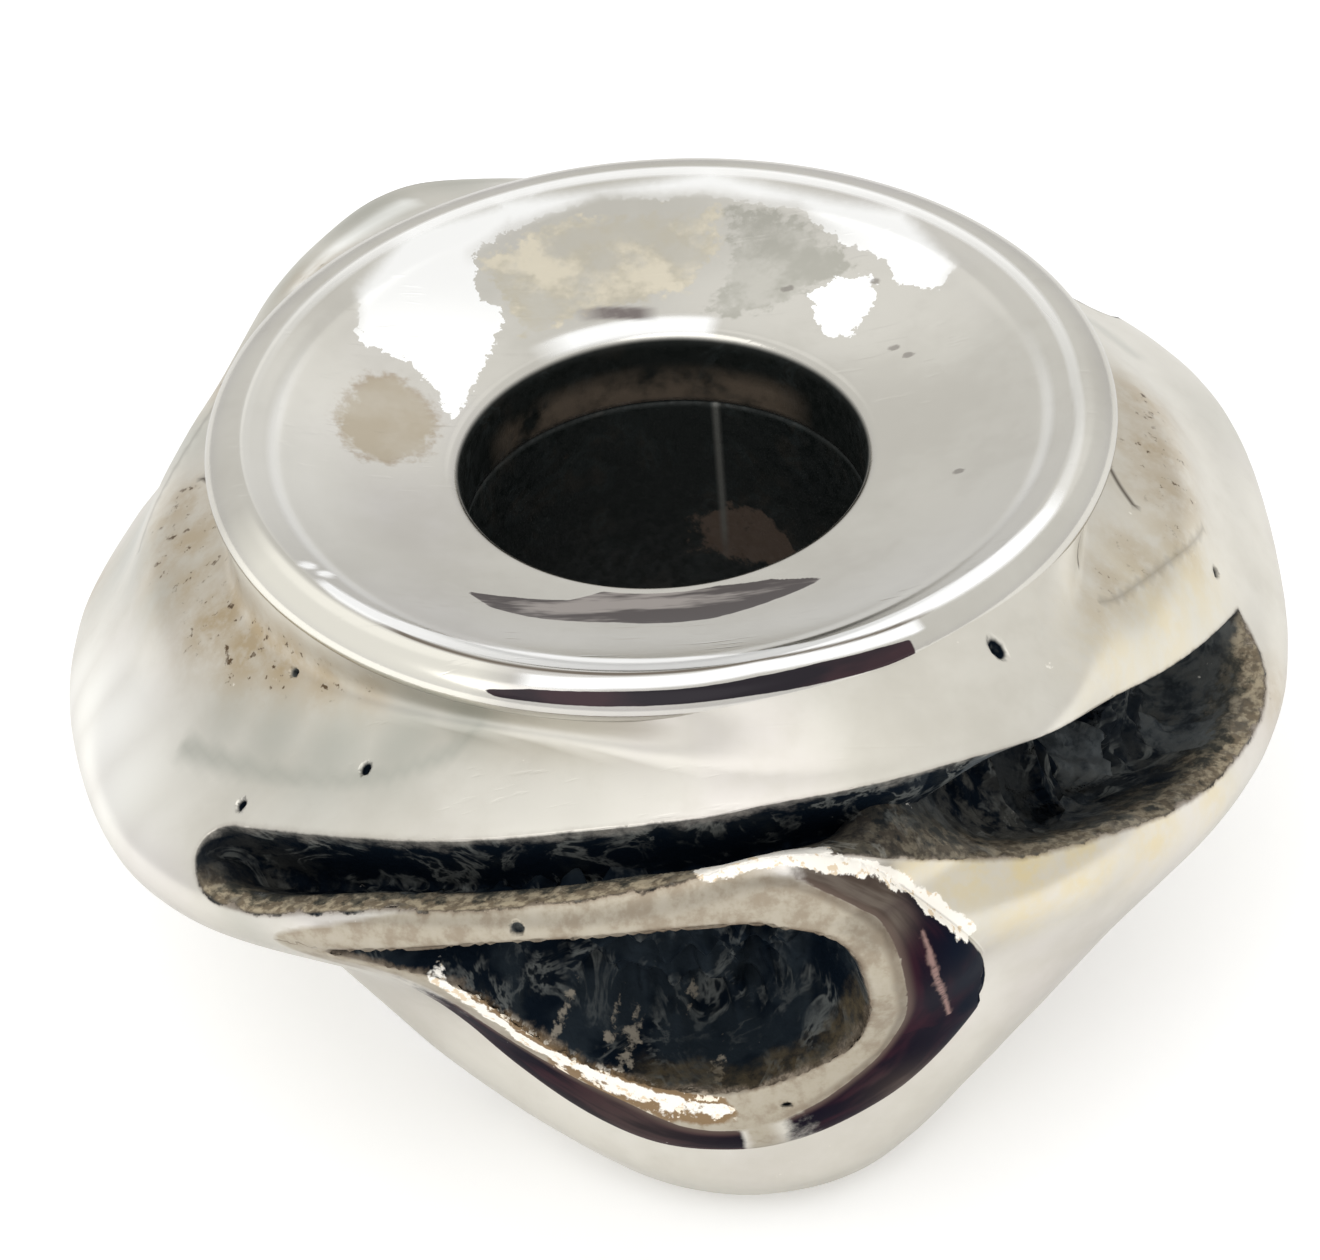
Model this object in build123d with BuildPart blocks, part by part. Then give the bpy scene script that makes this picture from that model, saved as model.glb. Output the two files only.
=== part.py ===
from build123d import *
import os
from math import cos, pi, radians, sin
from typing import NamedTuple

# A european charm bead, in millimetres. The bore stands along +Z, the origin is the middle
# of the plane that the lower rim rests on, and bearings turn counter-clockwise from +X.

# Driving dimensions
bead_height = 6.8
bore_radius = 2.25
neck_wall = 0.35
upper_neck_depth = 1.0
lower_neck_depth = 1.0
upper_rim_radius = 5.05
upper_rim_height = 0.52
lower_rim_radius = 4.0
lower_rim_height = 0.5
upper_hub_depth = 0.4
lower_hub_depth = 0.35
lip_width = 0.42
upper_dish_fall = 0.62
lower_dish_fall = 0.4
bore_roll = 0.18
body_radius = 7.0
foot_clearance = 0.25
joint_gap = 0.03
slot_depth = 1.15
pocket_depth = 1.3
outline_points = 32

# Heights and places that follow from them
upper_seat = bead_height - upper_rim_height
lower_seat = lower_rim_height
body_top = upper_seat - joint_gap
body_height = body_top - foot_clearance
neck_radius = bore_radius + neck_wall
body_bore = neck_radius + joint_gap


class Level(NamedTuple):
    """One height of the body: its lobed outline, as shares of the body's height and radius."""

    height: float
    long: float
    short: float
    waist: float
    bearing: float


LEVELS = [
    Level(1.000, 0.780, 0.630, 0.120, 302),
    Level(0.980, 0.840, 0.670, 0.120, 300),
    Level(0.920, 0.915, 0.750, 0.090, 296),
    Level(0.850, 0.930, 0.820, 0.040, 284),
    Level(0.760, 0.945, 0.860, 0.000, 254),
    Level(0.650, 1.010, 0.960, 0.070, 214),
    Level(0.525, 0.980, 0.880, 0.000, 168),
    Level(0.375, 0.890, 0.790, 0.000, 130),
    Level(0.225, 0.875, 0.680, 0.020, 103),
    Level(0.110, 0.870, 0.600, 0.070, 98),
    Level(0.040, 0.845, 0.540, 0.110, 98),
    Level(0.000, 0.820, 0.510, 0.130, 98),
]


class Ridge(NamedTuple):
    """One upright section of the curl that stands up round a teardrop pocket."""

    bearing: float
    top: float
    top_reach: float
    middle_reach: float
    foot: float
    foot_reach: float


RIDGES = [
    Ridge(240.0, 0.750, 0.930, 0.900, 0.560, 0.840),
    Ridge(247.0, 0.780, 0.955, 0.945, 0.400, 0.820),
    Ridge(255.0, 0.810, 0.950, 0.945, 0.295, 0.850),
    Ridge(265.0, 0.835, 0.940, 0.950, 0.230, 0.890),
    Ridge(275.0, 0.850, 0.945, 0.960, 0.205, 0.915),
    Ridge(284.0, 0.830, 0.950, 0.975, 0.220, 0.925),
    Ridge(290.0, 0.755, 0.970, 0.980, 0.265, 0.925),
    Ridge(294.5, 0.660, 0.980, 0.975, 0.335, 0.925),
    Ridge(297.5, 0.540, 0.960, 0.960, 0.430, 0.925),
]


class Recess(NamedTuple):
    """One upright section of a recess: where its mouth's middle is, how wide, how it dips."""

    bearing: float
    height: float
    reach: float
    width: float
    dip: float
    depth: float


SLOT = [
    Recess(217.5, 0.695, 0.955, 0.025, 20, 0.50),
    Recess(220.5, 0.708, 0.965, 0.095, 22, 0.85),
    Recess(228.0, 0.748, 0.945, 0.125, 30, 1.00),
    Recess(240.0, 0.795, 0.910, 0.115, 38, 1.00),
    Recess(251.0, 0.832, 0.885, 0.110, 42, 1.00),
    Recess(261.0, 0.860, 0.875, 0.105, 45, 1.00),
    Recess(272.0, 0.887, 0.880, 0.105, 45, 1.00),
    Recess(283.0, 0.902, 0.895, 0.115, 42, 1.00),
    Recess(294.0, 0.883, 0.905, 0.175, 30, 1.00),
    Recess(305.0, 0.838, 0.910, 0.225, 22, 1.00),
    Recess(318.0, 0.772, 0.905, 0.245, 20, 1.00),
    Recess(330.0, 0.705, 0.920, 0.235, 20, 1.00),
    Recess(340.0, 0.655, 0.935, 0.165, 22, 0.90),
    Recess(350.0, 0.655, 0.925, 0.040, 25, 0.50),
]

POCKET = [
    Recess(235.0, 0.640, 0.965, 0.020, 0, 0.20),
    Recess(240.0, 0.640, 0.955, 0.085, 0, 0.50),
    Recess(245.0, 0.635, 0.945, 0.150, 0, 0.80),
    Recess(250.0, 0.590, 0.940, 0.300, 0, 1.00),
    Recess(258.0, 0.562, 0.940, 0.405, 0, 1.00),
    Recess(266.0, 0.564, 0.945, 0.440, 0, 1.00),
    Recess(273.0, 0.568, 0.955, 0.425, 0, 1.00),
    Recess(280.0, 0.562, 0.965, 0.345, 0, 1.00),
    Recess(284.5, 0.545, 0.970, 0.220, 0, 0.95),
    Recess(287.0, 0.535, 0.970, 0.060, 0, 0.80),
]
# Width of a recess's floor, as a share of its mouth
floor_share = 0.85
# Share of a dish's fall that its middle has sunk by
dish_sag = 0.64
# The form repeats after half a turn
REPEATS = (0, 180)


def outline(level):
    """Points round one level, at equal turns."""
    middle = (level.long + level.short) / 2
    swing = (level.long - level.short) / 2
    points = []
    for step in range(outline_points):
        turn = 2 * pi * step / outline_points
        lean = turn - radians(level.bearing)
        waist = level.waist * (1 - cos(4 * lean)) / 2
        reach = body_radius * (middle + swing * cos(2 * lean) - waist)
        points.append((reach * cos(turn), reach * sin(turn)))
    return points


def level_height(share):
    """Height above the resting face of a share of the body's height."""
    return foot_clearance + body_height * share


def upright(bearing):
    """The plane through the bore's axis whose x runs outward at a bearing."""
    turn = radians(bearing)
    return Plane((0, 0, 0), x_dir=(cos(turn), sin(turn), 0), z_dir=(sin(turn), -cos(turn), 0))


def recess_corners(row, depth):
    """Mouth and floor corners of a recess section, as reach and height."""
    lean = radians(row.dip)
    outward = Vector(cos(lean), sin(lean))
    across = Vector(-sin(lean), cos(lean))
    middle = Vector(body_radius * row.reach, level_height(row.height))
    half = body_height * row.width / 2
    mouth = middle + outward * depth
    floor = middle - outward * depth * row.depth
    mouth_half = across * half
    floor_half = across * half * floor_share
    return [mouth + mouth_half, floor + floor_half, floor - floor_half, mouth - mouth_half]


def ridge_section(row):
    """Root, top, middle and foot of a curl section, as reach and height."""
    root = (body_bore + body_radius * row.foot_reach) / 2
    top = (body_radius * row.top_reach, level_height(row.top))
    middle = (body_radius * row.middle_reach, level_height((row.top + row.foot) / 2))
    foot = (body_radius * row.foot_reach, level_height(row.foot))
    return root, top, middle, foot


# Body: twisted, lobed casting
with BuildPart() as body:
    for level in LEVELS:
        with BuildSketch(Plane.XY.offset(level_height(level.height))):
            with BuildLine():
                Spline(*outline(level), periodic=True)
            make_face()
    loft()
    # The curls that frame the pockets
    for turn in REPEATS:
        for row in RIDGES:
            root, top, middle, foot = ridge_section(row)
            with BuildSketch(upright(row.bearing + turn)):
                with BuildLine():
                    ThreePointArc(top, middle, foot)
                    Polyline(foot, (root, foot[1]), (root, top[1]), top)
                make_face()
        loft()
    # The slots and the pockets
    for turn in REPEATS:
        for rows, depth in ((SLOT, slot_depth), (POCKET, pocket_depth)):
            for row in rows:
                with BuildSketch(upright(row.bearing + turn)):
                    with BuildLine():
                        Polyline(*recess_corners(row, depth), close=True)
                    make_face()
            loft(mode=Mode.SUBTRACT)
    # The bore for the tube and the necks
    with BuildSketch(Plane.XY):
        Circle(body_bore)
    extrude(amount=bead_height, mode=Mode.SUBTRACT)
    # The countersinks that the two collars sit in
    upper_hub = upper_seat - upper_hub_depth - joint_gap
    lower_hub = lower_seat + lower_hub_depth + joint_gap
    with BuildSketch(Plane.XZ):
        with BuildLine():
            Polyline(
                (0, upper_hub),
                (neck_radius, upper_hub),
                (upper_rim_radius - lip_width, body_top),
                (upper_rim_radius - lip_width, bead_height),
                (0, bead_height),
                close=True,
            )
        make_face()
        with BuildLine():
            Polyline(
                (0, lower_hub),
                (neck_radius, lower_hub),
                (lower_rim_radius - lip_width, lower_seat + joint_gap),
                (lower_rim_radius + joint_gap, lower_seat + joint_gap),
                (lower_rim_radius + joint_gap, 0),
                (0, 0),
                close=True,
            )
        make_face()
    revolve(axis=Axis.Z, mode=Mode.SUBTRACT)
body.part.label = "body"


def draw_collar(seat, rim, rim_radius, hub, neck_end, fall):
    """Draw half a collar's section from its neck and seat to its rim, as reach and height."""
    way = 1 if rim > seat else -1
    dish_foot = rim - way * fall
    bore_edge = (bore_radius, dish_foot - way * bore_roll)
    dish_edge = (bore_radius + bore_roll, dish_foot)
    seat_edge = (rim_radius - lip_width, seat)
    widest = (rim_radius, (seat + rim) / 2)
    crest = (rim_radius - lip_width, rim)
    dish_middle = ((crest[0] + dish_edge[0]) / 2, rim - way * dish_sag * fall)
    roll_depth = bore_roll * (1 - cos(pi / 4))
    roll_middle = (bore_radius + roll_depth, dish_foot - way * roll_depth)
    Polyline(bore_edge, (bore_radius, neck_end), (neck_radius, neck_end), (neck_radius, hub), seat_edge)
    TangentArc(seat_edge, widest, tangent=(1, 0))
    TangentArc(crest, widest, tangent=(1, 0))
    ThreePointArc(crest, dish_middle, dish_edge)
    ThreePointArc(dish_edge, roll_middle, bore_edge)


# Upper collar: flared dish with a rounded lip
with BuildPart() as upper_collar:
    with BuildSketch(Plane.XZ):
        with BuildLine():
            draw_collar(
                upper_seat,
                bead_height,
                upper_rim_radius,
                upper_seat - upper_hub_depth,
                upper_seat - upper_neck_depth,
                upper_dish_fall,
            )
        make_face()
    revolve(axis=Axis.Z)
upper_collar.part.label = "upper_collar"

# Lower collar: the same form turned over, smaller at the rim
with BuildPart() as lower_collar:
    with BuildSketch(Plane.XZ):
        with BuildLine():
            draw_collar(
                lower_seat,
                0,
                lower_rim_radius,
                lower_seat + lower_hub_depth,
                lower_seat + lower_neck_depth,
                lower_dish_fall,
            )
        make_face()
    revolve(axis=Axis.Z)
lower_collar.part.label = "lower_collar"

# Core tube: darkened liner between the two necks
tube_foot = lower_seat + lower_neck_depth + joint_gap
tube_head = upper_seat - upper_neck_depth - joint_gap
with BuildPart() as core_tube:
    with BuildSketch(Plane.XY.offset(tube_foot)):
        Circle(neck_radius)
        Circle(bore_radius, mode=Mode.SUBTRACT)
    extrude(amount=tube_head - tube_foot)
core_tube.part.label = "core_tube"

os.makedirs("parts", exist_ok=True)
export_step(body.part, "parts/body.step")
export_step(upper_collar.part, "parts/upper_collar.step")
export_step(lower_collar.part, "parts/lower_collar.step")
export_step(core_tube.part, "parts/core_tube.step")
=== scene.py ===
import bpy
import numpy as np
from mathutils import Matrix, Vector
from mathutils.geometry import delaunay_2d_cdt


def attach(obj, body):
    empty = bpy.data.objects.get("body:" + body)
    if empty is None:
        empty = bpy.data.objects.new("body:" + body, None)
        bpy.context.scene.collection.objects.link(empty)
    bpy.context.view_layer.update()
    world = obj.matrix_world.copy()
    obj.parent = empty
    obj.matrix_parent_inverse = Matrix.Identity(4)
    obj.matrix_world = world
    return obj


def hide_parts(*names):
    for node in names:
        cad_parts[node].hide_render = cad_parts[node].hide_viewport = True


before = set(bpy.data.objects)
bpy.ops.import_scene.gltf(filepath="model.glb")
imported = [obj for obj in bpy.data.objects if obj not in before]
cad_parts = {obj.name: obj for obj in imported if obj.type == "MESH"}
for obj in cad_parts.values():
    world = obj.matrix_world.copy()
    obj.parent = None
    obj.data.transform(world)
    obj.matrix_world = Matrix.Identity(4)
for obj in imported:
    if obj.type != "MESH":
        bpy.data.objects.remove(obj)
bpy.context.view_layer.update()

# Body: the twisted, lobed casting of sterling silver. It is cast in one with its slots and
# teardrop pockets, blackened all over and then polished, so that the black stays in the
# hollows and a brown film stays in the dimples by the rim.

# Sizes are in millimetres up to the meshes, which are in metres
mm = 0.001
body_radius = 7.0
body_foot = 0.25
body_height = 6.0
# Height, long and short reach, waist (all shares) and bearing of the lobes
body_levels = np.array([
    (1.000, 0.780, 0.630, 0.120, 302),
    (0.980, 0.840, 0.670, 0.120, 300),
    (0.920, 0.915, 0.750, 0.090, 296),
    (0.850, 0.930, 0.820, 0.040, 284),
    (0.760, 0.945, 0.860, 0.000, 254),
    (0.650, 1.010, 0.960, 0.070, 214),
    (0.525, 0.980, 0.880, 0.000, 168),
    (0.375, 0.890, 0.790, 0.000, 130),
    (0.225, 0.875, 0.680, 0.020, 103),
    (0.110, 0.870, 0.600, 0.070, 98),
    (0.040, 0.845, 0.540, 0.110, 98),
    (0.000, 0.820, 0.510, 0.130, 98),
])
# Half of the skin is laid out flat, from this bearing on; the other half is the same, turned
half_start = 200.0
turn_length = 6.2
skin_drop = 8.2
half_width = np.pi * turn_length
# The two collars sit in these, and solder runs up from the body to the upper one's lip
upper_seat, upper_cone_edge, upper_cone_slope = 6.25, 4.63, 0.197
solder_reach, solder_height = 5.01, 6.60
lower_seat, lower_seat_edge = 0.53, 4.03
lower_cone_top, lower_cone_edge = 0.88, 3.58
body_bore = 2.63

slot_depth = 1.2
pocket_depth = 0.95
pit_depth = 0.10
# Marks that hold a distance from an edge stop at this one
far_off = 0.8
# Edges of the slot, as bearing and height share, from its blunt left end to its sharp right tip
slot_top_edge = [
    (219.5, 0.686), (218.2, 0.712), (218.7, 0.740), (222.4, 0.765), (230.0, 0.797), (237.6, 0.823),
    (245.0, 0.846), (252.3, 0.868), (259.7, 0.889), (267.0, 0.907), (273.0, 0.922), (279.2, 0.938),
    (286.3, 0.949), (293.4, 0.954), (300.9, 0.946), (309.6, 0.912), (319.0, 0.853), (328.0, 0.794),
    (336.5, 0.746), (344.0, 0.703), (350.2, 0.668),
]
slot_foot_edge = [
    (219.5, 0.686), (221.3, 0.668), (225.5, 0.668), (231.5, 0.702), (239.0, 0.743), (246.8, 0.772),
    (253.5, 0.796), (260.2, 0.819), (266.8, 0.842), (272.3, 0.862), (277.5, 0.878), (282.0, 0.876),
    (286.3, 0.855), (290.5, 0.812), (295.0, 0.768), (300.5, 0.728), (306.5, 0.700), (312.0, 0.676),
    (318.0, 0.642), (324.0, 0.606), (330.0, 0.584), (336.5, 0.572), (342.0, 0.573), (346.4, 0.600),
    (348.8, 0.634), (350.2, 0.668),
]
# Mouth of the teardrop pocket
pocket_mouth = [
    (234.0, 0.624), (241.7, 0.674), (248.0, 0.710), (254.0, 0.738), (260.0, 0.757), (266.0, 0.770),
    (271.5, 0.774), (276.0, 0.766), (279.8, 0.744), (282.6, 0.708), (284.4, 0.662), (285.2, 0.606),
    (285.0, 0.545), (284.2, 0.480), (282.2, 0.430), (279.0, 0.390), (275.0, 0.354), (270.5, 0.336),
    (266.0, 0.342), (261.5, 0.362), (257.0, 0.396), (253.0, 0.444), (249.6, 0.508), (247.0, 0.565),
    (243.5, 0.598), (239.0, 0.610),
]
# Outer edge of the curl's face and how far it stands up there, in millimetres
curl_edge = [
    (231.5, 0.632, 0.00), (236.0, 0.680, 0.01), (242.0, 0.732, 0.02), (249.0, 0.774, 0.03),
    (256.5, 0.806, 0.05), (264.0, 0.832, 0.07), (270.0, 0.848, 0.09), (275.0, 0.853, 0.11),
    (279.0, 0.845, 0.15), (282.4, 0.812, 0.21), (285.0, 0.760, 0.28), (287.0, 0.698, 0.35),
    (288.2, 0.625, 0.40), (288.7, 0.550, 0.43), (288.2, 0.480, 0.44), (286.8, 0.418, 0.44),
    (284.3, 0.362, 0.43), (280.6, 0.308, 0.41), (276.5, 0.270, 0.38), (272.0, 0.252, 0.36),
    (267.0, 0.260, 0.34), (262.5, 0.292, 0.31), (257.8, 0.327, 0.29), (254.2, 0.358, 0.26),
    (250.5, 0.398, 0.22), (247.3, 0.448, 0.17), (244.8, 0.505, 0.11), (242.5, 0.555, 0.06),
    (239.0, 0.588, 0.02), (234.0, 0.605, 0.00),
]
# Foot of the curl's outer wall, and how dark the painted dark reflection on the wall above it is
curl_foot = [
    (228.5, 0.632, 0.0), (234.0, 0.697, 0.0), (241.0, 0.750, 0.0), (248.5, 0.791, 0.0),
    (256.0, 0.822, 0.0), (264.0, 0.850, 0.0), (270.5, 0.871, 0.0), (276.5, 0.883, 0.1),
    (281.5, 0.878, 0.6), (285.2, 0.850, 0.8), (288.2, 0.792, 1.0), (291.0, 0.728, 1.0),
    (293.6, 0.672, 1.0), (295.7, 0.615, 1.0), (297.5, 0.552, 1.0), (298.8, 0.485, 1.0),
    (299.0, 0.420, 1.0), (297.4, 0.372, 1.0), (294.5, 0.320, 0.9), (291.0, 0.272, 0.8),
    (287.0, 0.236, 0.9), (282.6, 0.208, 0.7), (278.0, 0.188, 0.3), (274.2, 0.179, 0.0),
    (271.6, 0.178, 1.0), (264.6, 0.184, 1.0), (258.9, 0.208, 1.0), (254.0, 0.240, 1.0),
    (249.0, 0.285, 1.0), (244.6, 0.342, 0.9), (241.5, 0.410, 0.7), (239.4, 0.480, 0.4),
    (237.0, 0.540, 0.2), (232.0, 0.585, 0.0),
]
# Lines: gold-brown film with painted sparkles and a painted highlight along the pocket's lower lip,
# painted highlights over the curl's crest, a pale painted reflection on its wall and olive inside the
# pocket
gold_line = [
    (247.2, 0.545), (250.2, 0.478), (253.7, 0.422), (257.6, 0.381), (262.0, 0.349), (266.3, 0.327),
    (271.0, 0.318),
]
lip_line = [
    (243.8, 0.588), (246.5, 0.530), (250.2, 0.452), (254.0, 0.402), (258.0, 0.368), (262.2, 0.336),
    (266.4, 0.312), (271.2, 0.300),
]
crest_line = [
    (271.0, 0.860), (275.5, 0.872), (280.0, 0.872), (283.8, 0.856), (287.0, 0.822), (289.8, 0.766),
    (292.4, 0.704), (295.4, 0.640),
]
crest_blocks = [(271.5, 0.868), (275.5, 0.882), (279.0, 0.886), (283.0, 0.876)]
crumb_line = [(255.5, 0.374), (259.5, 0.342), (263.5, 0.314), (267.5, 0.298), (270.4, 0.292)]
pink_line = [(290.4, 0.680), (291.0, 0.637), (291.9, 0.584), (293.1, 0.515), (293.8, 0.455)]
olive_line = [
    (283.2, 0.560), (282.4, 0.495), (280.6, 0.448), (277.6, 0.412), (274.3, 0.385), (270.3, 0.368),
    (266.0, 0.372),
]
# Thin dark nicks beside the rim, and the faint edge of the stain on the right
nicks = [
    [(356.0, 0.933), (352.6, 0.921), (350.1, 0.908)],
    [(341.8, 0.984), (340.4, 0.979), (339.2, 0.974)],
    [(333.6, 0.984), (332.4, 0.980), (331.2, 0.972)],
    [(192.0, 0.918), (190.0, 0.905), (186.5, 0.893)],
]
stain_edge = [
    (328.5, 0.940), (331.0, 0.920), (335.3, 0.897), (340.0, 0.875), (344.7, 0.853), (350.0, 0.822),
    (354.8, 0.795),
]
# Casting pits: bearing, height share, radius in millimetres and how squashed they lie
pits = [
    (309.5, 0.990, 0.085, 1.6), (351.3, 0.740, 0.060, 1), (215.4, 0.935, 0.055, 1),
    (253.1, 0.762, 0.065, 1), (219.5, 0.778, 0.045, 1), (231.1, 0.878, 0.055, 1),
    (277.5, 0.305, 0.040, 1),
]
# Stains, painted highlight patches and painted shade patches, as bearing, height share, spread in
# millimetres and strength
tan_stains = [
    (174.0, 0.885, 0.6, 0.9), (182.0, 0.895, 0.65, 1.0), (190.0, 0.900, 0.6, 0.9),
    (199.0, 0.918, 0.65, 1.3), (207.0, 0.928, 0.6, 1.4), (213.5, 0.942, 0.5, 1.3),
    (220.0, 0.948, 0.45, 1.0), (227.0, 0.955, 0.35, 0.7), (3.0, 0.885, 0.6, 1.0),
    (356.0, 0.870, 0.6, 0.9), (349.0, 0.850, 0.5, 0.7), (12.0, 0.880, 0.6, 0.9),
    (341.0, 0.900, 0.5, 0.7), (333.0, 0.928, 0.45, 0.7), (327.0, 0.945, 0.4, 0.5),
    (345.0, 0.545, 0.5, 0.6), (60.0, 0.930, 0.6, 0.8), (150.0, 0.900, 0.6, 0.8),
    (165.0, 0.560, 0.4, 0.6), (135.0, 0.985, 0.4, 0.6),
]
sallow_stains = [
    (291.0, 0.780, 0.30, 0.9), (297.0, 0.735, 0.45, 1.1), (303.0, 0.695, 0.45, 1.1),
    (309.0, 0.655, 0.5, 1.0), (302.0, 0.620, 0.5, 0.7), (318.0, 0.605, 0.5, 0.8),
    (328.0, 0.570, 0.4, 0.6), (336.0, 0.845, 0.9, 0.6), (324.0, 0.890, 0.9, 0.5),
    (346.0, 0.800, 0.7, 0.6), (110.0, 0.700, 0.6, 0.6), (125.0, 0.660, 0.6, 0.6),
]
# Painted shade: grey patches where the metal lies in shade
grey_shade_patches = [
    (211.0, 0.850, 0.5, 0.7), (218.0, 0.865, 0.55, 0.9), (226.0, 0.885, 0.65, 1.0),
    (234.0, 0.915, 0.6, 1.0), (241.0, 0.955, 0.5, 0.9), (331.0, 0.875, 0.9, 0.30),
    (343.0, 0.80, 0.8, 0.30), (167.0, 0.70, 0.7, 0.7), (226.0, 0.640, 0.35, 0.6),
    (178.0, 0.815, 0.6, 0.7), (187.0, 0.850, 0.6, 0.7), (50.0, 0.880, 0.6, 0.8),
    (20.0, 0.620, 0.7, 0.5), (110.0, 0.960, 0.7, 0.8), (122.0, 0.950, 0.8, 0.9),
    (134.0, 0.920, 0.8, 0.9), (146.0, 0.890, 0.8, 0.8), (158.0, 0.860, 0.7, 0.8),
]
# Painted highlights: whitish patches on the left flank
highlight_patches = [
    (183.0, 0.620, 0.6, 0.7), (190.0, 0.680, 0.65, 0.9), (197.0, 0.700, 0.7, 1.0),
    (205.0, 0.690, 0.6, 0.8), (212.0, 0.690, 0.4, 0.4),
]
stains_and_painted_light = {"tan": tan_stains, "sallow": sallow_stains, "painted_shade": grey_shade_patches, "bright": highlight_patches}
# The lobe behind the rim on the left stands a little higher than its fellow, with a painted highlight
# streak
lobe_highlight = [(317.4, 0.983), (311.2, 0.986), (304.5, 0.986), (298.0, 0.982)]
lobe_top = (296.0, 0.945)
# Painted shade: a grey line along the crease over the left shoulder
crease_line = [
    (208.4, 0.781), (217.8, 0.816), (225.3, 0.843), (231.7, 0.870), (234.9, 0.886), (238.3, 0.907),
    (241.1, 0.926), (242.9, 0.950),
]
# Where the painted dark reflection on the curl's wall is brown or navy, and where crumbs and dust lie in
# the pocket and the slot
brown_wall = [
    (276.0, 0.872, 0.5, 1.0), (280.0, 0.868, 0.6, 1.3), (283.5, 0.845, 0.6, 1.3),
    (286.5, 0.780, 0.45, 1.2), (287.5, 0.715, 0.25, 1.0), (289.0, 0.290, 0.4, 0.5),
    (262.0, 0.240, 0.9, 0.3),
]
navy_wall = [
    (292.8, 0.715, 0.26, 1.0), (294.8, 0.635, 0.32, 1.3), (296.2, 0.545, 0.36, 1.3),
    (296.9, 0.450, 0.36, 1.3), (295.8, 0.380, 0.30, 1.0),
]
pocket_crumbs = [
    (254.3, 0.435, 0.16, 1.0), (261.5, 0.375, 0.16, 1.1), (259.2, 0.395, 0.12, 1.0),
    (267.5, 0.385, 0.12, 0.9), (271.0, 0.345, 0.13, 0.9), (264.5, 0.480, 0.15, 0.8),
]
slot_dust = [
    (299.0, 0.800, 0.5, 0.9), (306.0, 0.745, 0.6, 1.0), (313.0, 0.695, 0.5, 0.9),
    (322.0, 0.680, 0.4, 0.9), (333.0, 0.600, 0.4, 0.8), (342.0, 0.640, 0.6, 0.8),
    (347.0, 0.650, 0.4, 0.7), (224.0, 0.700, 0.5, 0.6), (221.5, 0.725, 0.3, 0.7),
]


def through_rows(marks, rows, at):
    """A smooth curve through rows of numbers, read off at other marks."""
    gap = np.diff(marks)
    sums, pull = np.eye(len(marks)), np.zeros_like(rows)
    for i in range(1, len(marks) - 1):
        sums[i, i - 1:i + 2] = gap[i - 1], 2 * (gap[i - 1] + gap[i]), gap[i]
        pull[i] = 3 * ((rows[i + 1] - rows[i]) / gap[i] - (rows[i] - rows[i - 1]) / gap[i - 1])
    bend = np.linalg.solve(sums, pull)
    k = np.clip(np.searchsorted(marks, at, "right") - 1, 0, len(gap) - 1)
    g, t = gap[k][:, None], (at - marks[k])[:, None]
    slope = (rows[k + 1] - rows[k]) / g - g * (2 * bend[k] + bend[k + 1]) / 3
    return rows[k] + t * (slope + t * (bend[k] + t * (bend[k + 1] - bend[k]) / (3 * g)))


def level_rows(levels):
    """Each level as its height and the parts of its outline that turn with it."""
    height, long, short, waist, bearing = levels.T
    lean, swing = np.radians(bearing), (long - short) / 2
    return np.column_stack([
        body_foot + body_height * height,
        body_radius * ((long + short) / 2 - waist / 2),
        body_radius * swing * np.cos(2 * lean),
        body_radius * swing * np.sin(2 * lean),
        body_radius * waist / 2 * np.cos(4 * lean),
        body_radius * waist / 2 * np.sin(4 * lean),
    ])


def reach_of(rows, turn):
    return (rows[:, 1] + rows[:, 2] * np.cos(2 * turn) + rows[:, 3] * np.sin(2 * turn)
            + rows[:, 4] * np.cos(4 * turn) + rows[:, 5] * np.sin(4 * turn))


rows = level_rows(body_levels)
# How far apart the levels lie along the skin, on average round the body
around = np.linspace(0, 2 * np.pi, 36, endpoint=False)
outlines = np.array([reach_of(np.repeat(row[None], len(around), 0), around) for row in rows])
steps = np.hypot(np.diff(rows[:, 0])[:, None], np.diff(outlines, axis=0)).mean(1)
level_marks = np.append(0, np.cumsum(steps)) / steps.sum()


def turn_at(spots):
    """The turn about the bore's axis where spots of the flat layout lie."""
    return np.radians(half_start) + spots[:, 0] / turn_length


def solder_run(turn):
    """How far down the skin the solder reaches: further where the body lies lower."""
    return 0.80 - 0.25 * np.cos(2 * (turn - np.radians(302)))


def skin(spots):
    """Points of the smooth skin for spots (across, drop) of the flat layout."""
    turn = turn_at(spots)
    run = solder_run(turn)
    row = through_rows(level_marks, rows, np.maximum(spots[:, 1], run) / skin_drop)
    reach, height = reach_of(row, turn), row[:, 0]
    near = spots[:, 1] < run
    if near.any():
        # The solder leaves the collar's lip sloping outward and meets the skin along its own slope
        length, t, step = run[near], spots[near, 1] / run[near], 0.01
        lower = through_rows(level_marks, rows, (length + step) / skin_drop)
        out, down = reach[near] - solder_reach, height[near] - solder_height
        reach_fall = (reach_of(lower, turn[near]) - reach[near]) * length / step
        height_fall = (lower[:, 0] - height[near]) * length / step
        ends = [
            (solder_reach, reach[near], 0.9 * out + 0.15 * np.hypot(out, down), reach_fall),
            (solder_height, height[near], 0.9 * down, height_fall),
        ]
        reach[near], height[near] = [
            first * (1 - 3 * t ** 2 + 2 * t ** 3) + last * (3 * t ** 2 - 2 * t ** 3)
            + leave * (t - 2 * t ** 2 + t ** 3) + meet * (t ** 3 - t ** 2)
            for first, last, leave, meet in ends
        ]
    return np.column_stack([reach * np.cos(turn), reach * np.sin(turn), height])


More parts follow.
